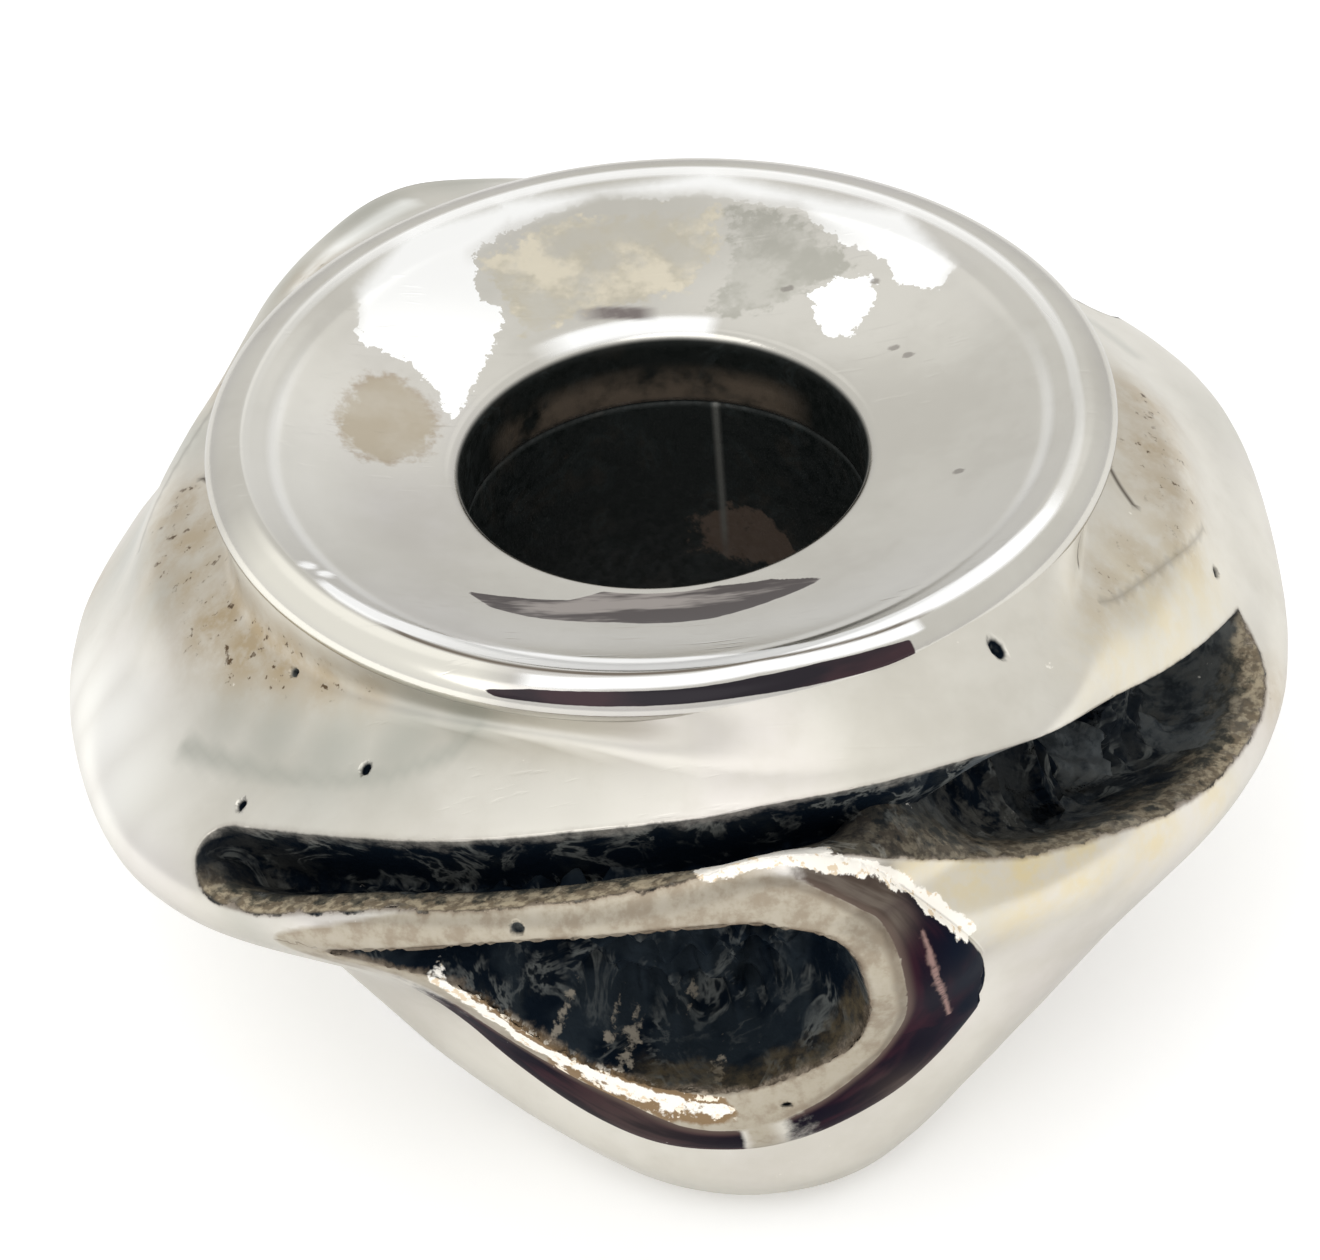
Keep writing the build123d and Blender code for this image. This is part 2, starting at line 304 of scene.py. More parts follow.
def facing(shape, spots, step=0.01):
    """Unit vectors square to a shape at spots of the layout, pointing out."""
    along = shape(spots + (step, 0)) - shape(spots - (step, 0))
    down = shape(spots + (0, step)) - shape(spots - (0, step))
    out = np.cross(down, along)
    return out / np.linalg.norm(out, axis=1)[:, None]


drops = np.linspace(0, skin_drop, 3000)
drop_heights = through_rows(level_marks, rows, drops / skin_drop)[:, 0]


def laid_out(places):
    """Bearings and height shares as spots of the flat layout."""
    places = np.array(places, float)
    across = np.radians(places[:, 0] - half_start) * turn_length
    drop = np.interp(-(body_foot + body_height * places[:, 1]), -drop_heights, drops)
    return np.column_stack([across, drop, *places.T[2:]])


def smooth_line(places, closed, pitch=0.06):
    """A smooth line through places, as close, evenly spaced points."""
    knots = laid_out(places)
    if closed:
        knots = np.vstack([knots[-2:], knots, knots[:3]])
    else:
        knots = np.vstack([2 * knots[0] - knots[1], knots, 2 * knots[-1] - knots[-2]])
    run = np.append(0, np.cumsum(np.sqrt(np.linalg.norm(np.diff(knots[:, :2], axis=0), axis=1))))
    first, last = (run[2], run[-3]) if closed else (run[1], run[-2])
    fine = through_rows(run, knots, np.linspace(first, last, 900))
    length = np.append(0, np.cumsum(np.linalg.norm(np.diff(fine[:, :2], axis=0), axis=1)))
    count = int(length[-1] / pitch)
    even = np.linspace(0, length[-1], count, endpoint=not closed)
    return np.column_stack([np.interp(even, length, column) for column in fine.T])


def from_line(spots, line, closed=True):
    """Distance of each spot to a line, and the line's third column at the nearest point."""
    ends = np.roll(line, -1, axis=0) if closed else line[1:]
    starts = line if closed else line[:-1]
    way = ends[:, :2] - starts[:, :2]
    size = (way ** 2).sum(1)
    distance, carried = np.full(len(spots), 9.0), np.zeros(len(spots))
    low, high = line[:, :2].min(0) - 1, line[:, :2].max(0) + 1
    close = np.flatnonzero(((spots > low) & (spots < high)).all(1))
    for first in range(0, len(close), 4000):
        here = close[first:first + 4000]
        part = spots[here]
        gap = part[:, None] - starts[None, :, :2]
        t = np.clip((gap * way).sum(2) / size, 0, 1)
        off = np.linalg.norm(gap - t[..., None] * way, axis=2)
        near = off.argmin(1)
        pick = np.arange(len(part))
        distance[here] = off[pick, near]
        if line.shape[1] > 2:
            share = t[pick, near]
            carried[here] = starts[near, 2] * (1 - share) + ends[near, 2] * share
    return distance, carried


def within(spots, loop):
    """True for each spot inside a closed loop."""
    x, y = loop[:, 0], loop[:, 1]
    x2, y2 = np.roll(x, -1), np.roll(y, -1)
    found = np.zeros(len(spots), bool)
    close = np.flatnonzero(((spots > loop.min(0)[:2]) & (spots < loop.max(0)[:2])).all(1))
    for first in range(0, len(close), 4000):
        here = close[first:first + 4000]
        px, py = spots[here].T[:, :, None]
        crossed = (y > py) != (y2 > py)
        with np.errstate(divide="ignore", invalid="ignore"):
            side = px < (x2 - x) * (py - y) / (y2 - y) + x
        found[here] = (crossed & side).sum(1) % 2 == 1
    return found


def ripples(seed, pitch, count=18):
    """A rolling surface of a given pitch, for castings that aren't quite even."""
    draw = np.random.default_rng(seed)
    heading = draw.uniform(0, 2 * np.pi, count)
    length = pitch * draw.uniform(0.7, 1.6, count)
    phase = draw.uniform(0, 2 * np.pi, count)

    def height(spots):
        run = spots[:, :1] * np.cos(heading) + spots[:, 1:2] * np.sin(heading)
        return np.sin(2 * np.pi * run / length + phase).sum(1) / np.sqrt(count / 2)

    return height


def chips(seed, middle, spread, count):
    """Blocky facets, as where casting sand broke away from a floor: their height and their tone."""
    draw = np.random.default_rng(seed)
    centres = middle + draw.uniform(-1, 1, (count, 2)) * spread
    level, tilt = draw.uniform(-1, 1, count), draw.normal(0, 1.2, (count, 2))
    tone = draw.uniform(0, 1, count)

    def height(spots):
        tall, tones = np.empty(len(spots)), np.empty(len(spots))
        for first in range(0, len(spots), 8000):
            gap = spots[first:first + 8000, None] - centres
            near = (gap ** 2).sum(2).argmin(1)
            pick = np.arange(len(near))
            tall[first:first + 8000] = level[near] + (gap[pick, near] * tilt[near]).sum(1)
            tones[first:first + 8000] = tone[near]
        return tall, tones

    return height


slot_top = smooth_line(slot_top_edge, False)
slot_low = smooth_line(slot_foot_edge, False)
slot_loop = np.vstack([slot_top, slot_low[-2:0:-1]])
pocket_loop = smooth_line(pocket_mouth, True)
curl_loop = smooth_line(curl_edge, True)
foot_loop = smooth_line(curl_foot, True)
pit_spots = laid_out(pits)
full_spot, full_lift = laid_out([(215.0, 0.555)])[0], 0.22
slot_blocks = chips(5, slot_loop.mean(0), (8.0, 2.6), 200)
slot_grit = ripples(6, 0.24)
pocket_lumps = ripples(7, 0.55)
pocket_grit = ripples(8, 0.23)
skin_sway = ripples(9, 2.6)
skin_dimple = ripples(10, 0.9)


def rise(x, width):
    """0 at a lip, 1 beyond about twice the width, with a crisp start."""
    return 1 - np.exp(-(np.maximum(x, 0) / width) ** 1.25)


def pitted(spots):
    """1 in the casting pits."""
    pit = np.zeros(len(spots))
    for across, drop, size, squash in pit_spots:
        gap = np.hypot(spots[:, 0] - across, (spots[:, 1] - drop) * squash) / size
        pit = np.maximum(pit, np.clip(1.6 - 1.2 * gap, 0, 1))
    return pit


def sway(spots):
    """The casting's slow unevenness, none where the halves meet."""
    quiet = np.clip(np.minimum(spots[:, 0], half_width - spots[:, 0]) / 1.5, 0, 1)
    return quiet * (0.006 * skin_sway(spots) + 0.0016 * skin_dimple(spots))


def fuller(spots, shift=0.0):
    """The fuller place low on the left; a shift of half the way round reads it on the other half."""
    return full_lift * np.exp(-(((spots - full_spot - (shift, 0)) / (1.5, 0.62)) ** 2).sum(1))


def signed(distance, inside):
    """A distance from an edge as its mark holds it: above 0 inside, and held to a limit."""
    return np.clip(np.where(inside, distance, -distance), -far_off, far_off)


def relief(spots, with_masks=False):
    """How far the real skin stands off the smooth one, and on request where each hollow lies."""
    lift = sway(spots) + fuller(spots)
    # The curl
    in_foot, in_curl = within(spots, foot_loop), within(spots, curl_loop)
    off_foot, black = from_line(spots, foot_loop)
    off_curl, tall = from_line(spots, curl_loop)
    off_pocket, _ = from_line(spots, pocket_loop)
    in_pocket = within(spots, pocket_loop)
    way_up = np.where(in_curl, 1.0, np.where(in_foot, off_foot / (off_foot + off_curl + 1e-9), 0.0))
    wall = np.sqrt(np.maximum(1 - (1 - way_up) ** 2, 0)) * 0.75 + 0.25 * way_up
    crown = np.where(in_curl, 1 + 0.10 * (1 - np.exp(-off_curl / 0.12)), 1.0)
    # The pocket
    pocket = np.where(in_pocket, rise(off_pocket, 0.17), 0.0)
    floor = pocket_depth + 0.10 * pocket_lumps(spots) + 0.035 * pocket_grit(spots)
    rounded = np.where(in_pocket, 0.0, 0.03 * np.exp(-off_pocket / 0.05))
    lift += tall * wall * crown * (1 - pocket) - pocket * floor - rounded * (1 - in_pocket)
    # The slot: a crisp upper lip, and a sloping ledge along the lower one that ends at the curl's crest
    in_slot = within(spots, slot_loop)
    off_top, _ = from_line(spots, slot_top, False)
    off_low, _ = from_line(spots, slot_low, False)
    ledge = np.interp(spots[:, 0], [7.0, 7.9, 9.4, 10.6, 13.4, 14.6], [1, 0.25, 0.25, 0.6, 0.6, 1])
    lower_side = 0.25 * rise(off_low, 0.15) + 0.75 * rise(off_low - 0.20 * ledge, 0.16)
    slot = np.where(in_slot, rise(off_top, 0.06) * lower_side, 0.0)
    broken = np.clip((spots[:, 0] - 9.0) / 2, 0.2, 1)
    blocks, tones = slot_blocks(spots)
    lift -= slot * (slot_depth + 0.24 * broken * blocks + 0.04 * slot_grit(spots))
    lift -= pit_depth * pitted(spots)
    if not with_masks:
        return lift
    kept_face = np.where(in_foot, np.clip(1 - black / 0.25, 0, 1), 0.0)
    face = np.maximum(kept_face * np.clip(off_foot / 0.05, 0, 1), np.clip(1.3 - off_curl / 0.05, 0, 1))
    on_wall = np.clip(np.where(in_foot & ~in_curl, np.minimum(off_foot, off_curl), -0.05) / 0.04, 0, 1)
    return {
        "facet": broken * tones,
        "ledge": ledge,
        "face": np.where(in_curl, 1.0, face),
        "slot": signed(np.minimum(off_top, off_low), in_slot),
        "slot_low": np.clip(off_low - off_top, -far_off, far_off),
        "pocket": signed(off_pocket, in_pocket),
        "curl": signed(off_curl, in_curl),
        "wall": np.clip(black, 0, 1) * on_wall,
        "wall_up": way_up,
        "pit": pitted(spots),
        "pocket_share": pocket,
    }


def carved(spots):
    return skin(spots) + facing(skin, spots) * relief(spots)[:, None]


def soft_patches(spots, patches, shift=0.0):
    """Soft round patches; a shift of half the way round reads them on the other half."""
    amount, lap = np.zeros(len(spots)), 2 * half_width
    for across, drop, spread, strength in laid_out(patches):
        gap = (spots[:, 0] + shift - across + lap / 2) % lap - lap / 2
        off = gap ** 2 + (spots[:, 1] - drop) ** 2
        amount = np.maximum(amount, strength * np.exp(-off / spread ** 2))
    return amount


def drawn(spots, line, width):
    """A line of a given half width, as it is drawn on the skin."""
    return np.clip(1.3 - from_line(spots, smooth_line(line, False), False)[0] / width, 0, 1)


def offset_spots(line, offset):
    """Points beside a closed line at one distance, without those where the copy folds over."""
    way = np.roll(line, -1, 0) - np.roll(line, 1, 0)
    side = np.column_stack([way[:, 1], -way[:, 0]])
    side /= np.linalg.norm(side, axis=1)[:, None]
    moved = line + side * offset
    return moved[np.abs(from_line(moved, line)[0] - abs(offset)) < 0.004]


def honeycomb(low, high, pitch):
    """Evenly spread points over a box."""
    down = pitch * np.sqrt(3) / 2
    lines = np.arange(low[1] + down / 2, high[1], down)
    spots = []
    for k, drop in enumerate(lines):
        across = np.arange(low[0] + pitch / 2 * (k % 2), high[0], pitch)
        spots.append(np.column_stack([across, np.full(len(across), drop)]))
    return np.vstack(spots)


def thinned(spots, pitch):
    """The spots without those that crowd an earlier one."""
    cells, kept = {}, []
    for k, (x, y) in enumerate(spots.tolist()):
        column, row = int(x // pitch), int(y // pitch)
        beside = [(column + a, row + b) for a in (-1, 0, 1) for b in (-1, 0, 1)]
        near = [spot for cell in beside for spot in cells.get(cell, ())]
        if all((nx - x) ** 2 + (ny - y) ** 2 > pitch * pitch for nx, ny in near):
            cells.setdefault((column, row), []).append((x, y))
            kept.append(k)
    return spots[kept]


# The layout's points: close along every edge, finer in the hollows, even elsewhere
lips = [slot_loop[:, :2], pocket_loop[:, :2]]
lip_spots = np.vstack(lips)
beside = []
for line in lips:
    for offset in (0.028, 0.06, 0.10, 0.15, 0.21, 0.28, 0.36):
        beside += [offset_spots(line, offset), offset_spots(line, -offset)]
for line in (curl_loop[:, :2], foot_loop[:, :2]):
    beside.append(line)
    for offset in (0.03, 0.07, 0.12, 0.18):
        beside += [offset_spots(line, offset), offset_spots(line, -offset)]
for line in nicks + [stain_edge, pink_line]:
    flat = smooth_line(line, False)
    beside += [flat, flat + (0.04, 0.03), flat - (0.04, 0.03)]
turns = np.linspace(0, 2 * np.pi, 12, endpoint=False)
circle = np.column_stack([np.cos(turns), np.sin(turns)])
for across, drop, size, _ in pit_spots:
    for share in (0.25, 0.5, 0.8, 1.1, 1.4, 1.9):
        beside.append(np.array((across, drop)) + share * size * circle)
coarse = honeycomb((0, 0), (half_width, skin_drop), 0.115)
fine = honeycomb((1.5, 0.2), (half_width - 2.5, 7.6), 0.062)
fine = fine[within(fine, slot_loop) | within(fine, pocket_loop)]
coarse = coarse[~(within(coarse, slot_loop) | within(coarse, pocket_loop))]
free = thinned(np.vstack([lip_spots] + beside + [coarse, fine]), 0.024)
free = free[(free[:, 0] > 0.05) & (free[:, 0] < half_width - 0.05)
            & (free[:, 1] > 0.04) & (free[:, 1] < skin_drop - 0.04)]
side_steps, end_steps = 72, 172
side = np.linspace(0, skin_drop, side_steps + 1)
end = np.linspace(0, half_width, end_steps + 1)
border = np.vstack([
    np.column_stack([np.zeros(side_steps + 1), side]),
    np.column_stack([np.full(side_steps + 1, half_width), side]),
    np.column_stack([end[1:-1], np.zeros(end_steps - 1)]),
    np.column_stack([end[1:-1], np.full(end_steps - 1, skin_drop)]),
])
spots = np.vstack([border, free])
lip_links, first = [], len(border)
for line in lips:
    lip_links += [(first + k, first + (k + 1) % len(line)) for k in range(len(line))]
    first += len(line)
laid, _, cells, _, _, _ = delaunay_2d_cdt([Vector(spot) for spot in spots], lip_links, [], 0, 1e-7)
spots = np.array([tuple(spot) for spot in laid])
cells = np.array([cell[::-1] for cell in cells if len(cell) == 3])

points = carved(spots)
outward = facing(carved, spots)
masks = relief(spots, True)
# Painted shade along the crease over the left shoulder; then stains, dust and crumbs, the painted highlight
# and shade patches, and the painted reflection tints of the curl's wall
crease = drawn(spots, crease_line, 0.14)
patch_marks = {"dust": slot_dust, "brown_wall": brown_wall, "navy_wall": navy_wall, "crumb": pocket_crumbs}
for name, patches in {**stains_and_painted_light, **patch_marks}.items():
    masks[name] = soft_patches(spots, patches)
masks["painted_shade"] = np.maximum(masks["painted_shade"], crease)
# Each mark's lines, with their half width in millimetres and their strength
# The glint lines are painted highlights, the pink line a pale painted reflection on the curl's wall, and
# gold a gold-brown film with painted sparkles
line_marks = {
    "olive": [(olive_line, 0.35, 1)],
    "gold": [(gold_line, 0.12, 1), (crumb_line, 0.30, 1)],
    "pink_line": [(pink_line, 0.045, 1)],
    "glint": [
        (lip_line, 0.14, 1), (crest_line, 0.13, 1), (crest_blocks, 0.07, 0.8), (crumb_line, 0.24, 0.68),
    ],
    "nick": [(line, 0.03, 1) for line in nicks] + [(stain_edge, 0.035, 0.35)],
}
for name, lines in line_marks.items():
    strokes = [strength * drawn(spots, line, width) for line, width, strength in lines]
    masks[name] = np.max(strokes, axis=0)
masks["streak"] = np.zeros(len(spots))
masks["solder"] = np.clip(1.7 - spots[:, 1] / solder_run(turn_at(spots)), 0, 1)
foot_run = np.column_stack([foot_loop[:, :2], np.linspace(0, 14, len(foot_loop))])
masks["along"] = from_line(spots, foot_run)[1]
reach = np.hypot(points[:, 0], points[:, 1])
low = (points[:, 2] < lower_seat) & (reach < lower_seat_edge)
points[low, 2] = lower_seat

# The other half, turned about the bore's axis, shares the points on its two side borders.
# Its slot ends sooner: the sharp tip was filled there when the casting was cleaned. It has no pits.
fill_from, fill_to = 13.2, 14.6
lobe_extra, lobe_spot = 0.16, laid_out([lobe_top])[0]


def turned_shape(spots):
    share = np.clip((spots[:, 0] - fill_from) / (fill_to - fill_from), 0, 1)
    kept = 1 - share * share * (3 - 2 * share)
    carving = relief(spots) + pit_depth * pitted(spots) - sway(spots) - fuller(spots)
    lobe = lobe_extra * np.exp(-(((spots - lobe_spot) / (0.9, 0.5)) ** 2).sum(1))
    lift = sway(spots) + carving * kept + (fuller(spots, half_width) + lobe)
    return skin(spots) + facing(skin, spots) * lift[:, None]


count = len(points)
turned_half, turned_outward = points * (-1, -1, 1), outward * (-1, -1, 1)
reshaped = (spots[:, 0] > fill_from) & (spots[:, 1] > 1.0) & (spots[:, 1] < 5.0)
reshaped |= np.abs((spots - lobe_spot) / (3.0, 1.3)).max(1) < 1
reshaped |= fuller(spots) + fuller(spots, half_width) > 0.0003
for across, drop, _, _ in pit_spots:
    reshaped |= np.hypot(spots[:, 0] - across, spots[:, 1] - drop) < 0.3
turned_half[reshaped] = turned_shape(spots[reshaped]) * (-1, -1, 1)
turned_outward[reshaped] = facing(turned_shape, spots[reshaped]) * (-1, -1, 1)
left = np.arange(side_steps + 1)
right = left + side_steps + 1
shared = np.arange(count)
new = np.ones(count, bool)
new[left] = new[right] = False
shared[new] = count + np.arange(new.sum())
shared[left], shared[right] = right, left
all_points = np.vstack([points, turned_half[new]])
all_outward = np.vstack([outward, turned_outward[new]])
all_cells = np.vstack([cells, shared[cells]])
turned_masks = dict(masks)
turned_masks["slot"] = np.minimum(masks["slot"], (fill_from + 0.7 - spots[:, 0]) * 0.8)
for name, patches in stains_and_painted_light.items():
    turned_masks[name] = soft_patches(spots, patches, half_width)
turned_masks["painted_shade"] = np.maximum(turned_masks["painted_shade"], 0.6 * crease)
# The lobe's painted highlight streak, on this half only
turned_masks["streak"] = drawn(spots, lobe_highlight, 0.13)
turned_masks["pit"] = np.zeros(len(spots))
all_masks = {name: np.append(mask, turned_masks[name][new]) for name, mask in masks.items()}

# Close it over the seats and through the bore
end_inner = 2 * (side_steps + 1) + np.arange(end_steps - 1)
top_half = np.append(0, end_inner)
foot_half = np.append(side_steps, end_inner + end_steps - 1)
loops = [np.concatenate([half, shared[half]]) for half in (top_half, foot_half)]


def ring_points(loop, reach, height):
    turn = np.arctan2(all_points[loop, 1], all_points[loop, 0])
    heights = np.broadcast_to(height, turn.shape)
    return np.column_stack([reach * np.cos(turn), reach * np.sin(turn), heights])


foot_reach = np.hypot(*all_points[loops[1], :2].T)
seat_reach = np.minimum(foot_reach - 0.01, lower_seat_edge)
rings = [
    ring_points(loops[0], upper_cone_edge, upper_seat),
    ring_points(loops[0], body_bore, upper_seat - (upper_cone_edge - body_bore) * upper_cone_slope),
    ring_points(loops[1], body_bore, lower_cone_top),
    ring_points(loops[1], np.minimum(seat_reach - 0.01, lower_cone_edge), lower_seat),
    ring_points(loops[1], seat_reach, lower_seat),
    ring_points(loops[1], seat_reach, all_points[loops[1], 2]),
]
size = len(loops[0])
ring_start = len(all_points)
all_points = np.vstack([all_points] + rings)
chain = [loops[0]] + [ring_start + k * size + np.arange(size) for k in range(len(rings))] + [loops[1]]
strips = np.vstack([
    np.column_stack([a, np.roll(a, -1), np.roll(b, -1), b]) for a, b in zip(chain, chain[1:])
])


def new_piece(name, points, faces):
    """A mesh object from points in millimetres."""
    mesh = bpy.data.meshes.new(name)
    mesh.from_pydata((points * mm).tolist(), [], faces)
    mesh.shade_smooth()
    piece = bpy.data.objects.new(name, mesh)
    bpy.context.scene.collection.objects.link(piece)
    return piece


def mark(piece, name, values):
    """Keep one value per point on a piece, for its material."""
    piece.data.attributes.new(name, "FLOAT", "POINT").data.foreach_set("value", values.astype(np.float32))


body = new_piece("lobed_body", all_points, all_cells.tolist() + strips.tolist())
corner_normals = np.empty((len(body.data.loops), 3))
skin_corners = all_cells.size
corner_normals[:skin_corners] = all_outward[all_cells.ravel()]
flat = np.empty(len(body.data.polygons) * 3)
body.data.polygons.foreach_get("normal", flat)
corner_normals[skin_corners:] = np.repeat(flat.reshape(-1, 3)[len(all_cells):], 4, axis=0)
body.data.normals_split_custom_set(corner_normals.tolist())
for name, mask in all_masks.items():
    hidden = np.full(len(all_points) - len(mask), -far_off if mask.min() < 0.9 * -far_off else 0.0)
    mark(body, name, np.append(mask, hidden))


def lay(kind, into=None, **settings):
    """Put a node in the tree that is being built, set it up, and wire or fill its sockets."""
    node = tree.nodes.new(kind)
    for name, value in settings.items():
        setattr(node, name, value)
    for socket, value in (into or {}).items():
        if isinstance(value, bpy.types.NodeSocket):
            tree.links.new(value, node.inputs[socket])
        else:
            node.inputs[socket].default_value = value
    return node


def shade(mask, under, over):
    """One colour over another where a mask is 1."""
    node = lay("ShaderNodeMix", {0: mask, 6: under, 7: over}, data_type="RGBA")
    return node.outputs[2]


def between(mask, under, over):
    return lay("ShaderNodeMix", {0: mask, 2: under, 3: over}).outputs[0]


def edge(value, low, high, to_low=0.0, to_high=1.0):
    """A soft step from one value to another."""
    node = lay("ShaderNodeMapRange", {0: value, 1: low, 2: high, 3: to_low, 4: to_high},
               interpolation_type="SMOOTHSTEP")
    return node.outputs[0]


def figure(operation, a, b=0.0, c=0.0):
    return lay("ShaderNodeMath", {0: a, 1: b, 2: c}, operation=operation).outputs[0]


def times(a, b):
    return figure("MULTIPLY", a, b)


def minus(a, b):
    return figure("SUBTRACT", a, b)


def larger(a, b):
    return figure("MAXIMUM", a, b)


def some_of(a, share, value):
    """A share of one value on top of another, as when noise frays a mask."""
    return figure("MULTIPLY_ADD", a, share, value)


def grain(place, scale, detail=3.0, roughness=0.5, distortion=0.0):
    return lay("ShaderNodeTexNoise", {
        "Vector": place, "Scale": scale, "Detail": detail, "Roughness": roughness, "Distortion": distortion,
    }).outputs["Fac"]


def reading(name):
    return lay("ShaderNodeAttribute", attribute_name=name).outputs["Fac"]


def new_group(name, inputs, outputs):
    """Start a shader group with named sockets: (name, kind, value) going in, (name, kind) coming out."""
    global tree
    tree = bpy.data.node_groups.new(name, "ShaderNodeTree")
    for title, kind, value in inputs:
        socket = tree.interface.new_socket(title, in_out="INPUT", socket_type="NodeSocket" + kind)
        if value is not None:
            socket.default_value = value
    for title, kind in outputs:
        tree.interface.new_socket(title, in_out="OUTPUT", socket_type="NodeSocket" + kind)
    return tree, lay("NodeGroupInput").outputs, lay("NodeGroupOutput").inputs


def new_material(name):
    """Start a node material, and give where each of its points lies on the piece."""
    global tree
    material = bpy.data.materials.new(name)
    material.use_nodes = True
    tree = material.node_tree
    tree.nodes.clear()
    return material, lay("ShaderNodeTexCoord").outputs["Object"]


def dress(piece, material, finish, height, depth, strength):
    """Finish a material with fine bumps of a depth in metres, and put it on a piece."""
    bump = lay("ShaderNodeBump", {"Height": height, "Distance": depth, "Strength": strength})
    tree.links.new(bump.outputs[0], finish.inputs["Normal"])
    tree.links.new(finish.outputs[0], lay("ShaderNodeOutputMaterial").inputs[0])
    piece.data.materials.append(material)


# Hand-polished silver: cloudy warm film, cooler patches, grey smears and fine scratches
polish, given, give = new_group(
    "hand_polish",
    [("Place", "Vector", None), ("Silver", "Color", (0.8, 0.8, 0.78, 1)),
     ("Film", "Color", (0.68, 0.65, 0.6, 1)), ("Blush", "Color", (0.72, 0.7, 0.72, 1)),
     ("Film amount", "Float", 0.5), ("Gloss", "Float", 0.16), ("Haze", "Float", 0.1)],
    [("Color", "Color"), ("Roughness", "Float"), ("Height", "Float")],
)
clouds = grain(given["Place"], 420.0, 5.0, 0.6)
cool = grain(given["Place"], 260.0, 3.0, 0.5)
smears = grain(given["Place"], 1500.0, 4.0, 0.65)
film = times(edge(clouds, 0.40, 0.66), given["Film amount"])
blushed = shade(edge(cool, 0.48, 0.66, 0.0, 0.6), given["Silver"], given["Blush"])
filmed = shade(film, blushed, given["Film"])
tree.links.new(shade(edge(smears, 0.50, 0.75, 0.0, 0.25), filmed, given["Film"]), give["Color"])
tree.links.new(some_of(smears, given["Haze"], given["Gloss"]), give["Roughness"])
stretched = lay("ShaderNodeMapping", {
    "Vector": given["Place"], "Rotation": (0.3, 0.5, 0.9), "Scale": (900.0, 12000.0, 9000.0),
}).outputs[0]
scratches = edge(grain(stretched, 1.0, 2.0, 0.5), 0.62, 0.74)
tree.links.new(some_of(smears, 0.5, times(scratches, -0.5)), give["Height"])

# Sulphide left in the hollows: blue-black, with brown crust and a few paler worn lumps
soot, given, give = new_group(
    "hollow_black",
    [("Place", "Vector", None), ("Black", "Color", (0.004, 0.0075, 0.013, 1)),
     ("Crust", "Color", (0.045, 0.048, 0.042, 1)), ("Worn", "Color", (0.13, 0.145, 0.14, 1)),
     ("Crust amount", "Float", 0.25), ("Worn amount", "Float", 0.6)],
    [("Color", "Color"), ("Roughness", "Float"), ("Height", "Float")],
)
lumps = grain(given["Place"], 1900.0, 4.0, 0.6)
swirls = grain(given["Place"], 1100.0, 4.0, 0.6, distortion=1.6)
grit = grain(given["Place"], 8000.0, 3.0, 0.6)
crust = times(edge(lumps, 0.50, 0.70), given["Crust amount"])
swirl_lines = edge(figure("ABSOLUTE", minus(swirls, 0.56)), 0.060, 0.0)
worn = times(times(swirl_lines, edge(lumps, 0.40, 0.60)), given["Worn amount"])
tree.links.new(shade(worn, shade(crust, given["Black"], given["Crust"]), given["Worn"]), give["Color"])
tree.links.new(edge(grit, 0.3, 0.7, 0.42, 0.75), give["Roughness"])
tree.links.new(some_of(grit, 0.4, lumps), give["Height"])

# Painted dark reflection in the silver, tinted like a thin violet film: navy, purple and brown, with a pale
# streak
dark_reflection, given, give = new_group(
    "violet_reflection",
    [("Streaks", "Vector", None), ("Navy amount", "Float", 0.0), ("Brown amount", "Float", 0.0),
     ("Pale amount", "Float", 0.0)],
    [("Color", "Color")],
)
tints = grain(given["Streaks"], 1.0, 3.0, 0.55)
purple = shade(edge(tints, 0.42, 0.62), (0.007, 0.005, 0.012, 1), (0.030, 0.009, 0.017, 1))
navy = shade(given["Navy amount"], purple, (0.003, 0.006, 0.015, 1))
brown = shade(edge(tints, 0.40, 0.60), (0.075, 0.056, 0.045, 1), (0.14, 0.115, 0.095, 1))
browned = shade(given["Brown amount"], navy, brown)
tree.links.new(shade(given["Pale amount"], browned, (0.40, 0.26, 0.23, 1)), give["Color"])

cast_silver, place = new_material("cast_silver")
metal = lay("ShaderNodeGroup", {
    "Place": place, "Silver": (0.73, 0.705, 0.64, 1), "Film": (0.59, 0.56, 0.49, 1),
    "Blush": (0.66, 0.62, 0.595, 1), "Film amount": 0.6, "Gloss": 0.26, "Haze": 0.15,
}, node_tree=polish)
black = lay("ShaderNodeGroup", {
    "Place": place, "Worn": (0.19, 0.20, 0.19, 1),
}, node_tree=soot)
fine_grain = grain(place, 7500.0, 3.0, 0.6)
ragged = grain(place, 3200.0, 4.0, 0.65)
wobble = minus(ragged, 0.5)
# The curl's wall is painted dark reflection: navy, purple and brown, with a pale streak
curl_streaks = lay("ShaderNodeCombineXYZ", {
    0: times(reading("wall_up"), 2.6), 1: times(reading("along"), 0.8),
}).outputs[0]
violet = lay("ShaderNodeGroup", {
    "Streaks": curl_streaks, "Navy amount": reading("navy_wall"), "Brown amount": reading("brown_wall"),
    "Pale amount": edge(some_of(wobble, 1.6, reading("pink_line")), 0.35, 1.0, 0.0, 0.75),
}, node_tree=dark_reflection)
slot_mask, slot_side = reading("slot"), reading("slot_low")
low_part = times(edge(slot_side, 0.10, -0.25), reading("ledge"))
pocket_mask = reading("pocket")
# Stains on the polished skin, the widest first, with painted highlights and painted shade among them
tan_place = times(reading("tan"), edge(ragged, 0.30, 0.62, 0.45, 1.0))
sallow_place = times(reading("sallow"), edge(ragged, 0.34, 0.62, 0.35, 1.0))
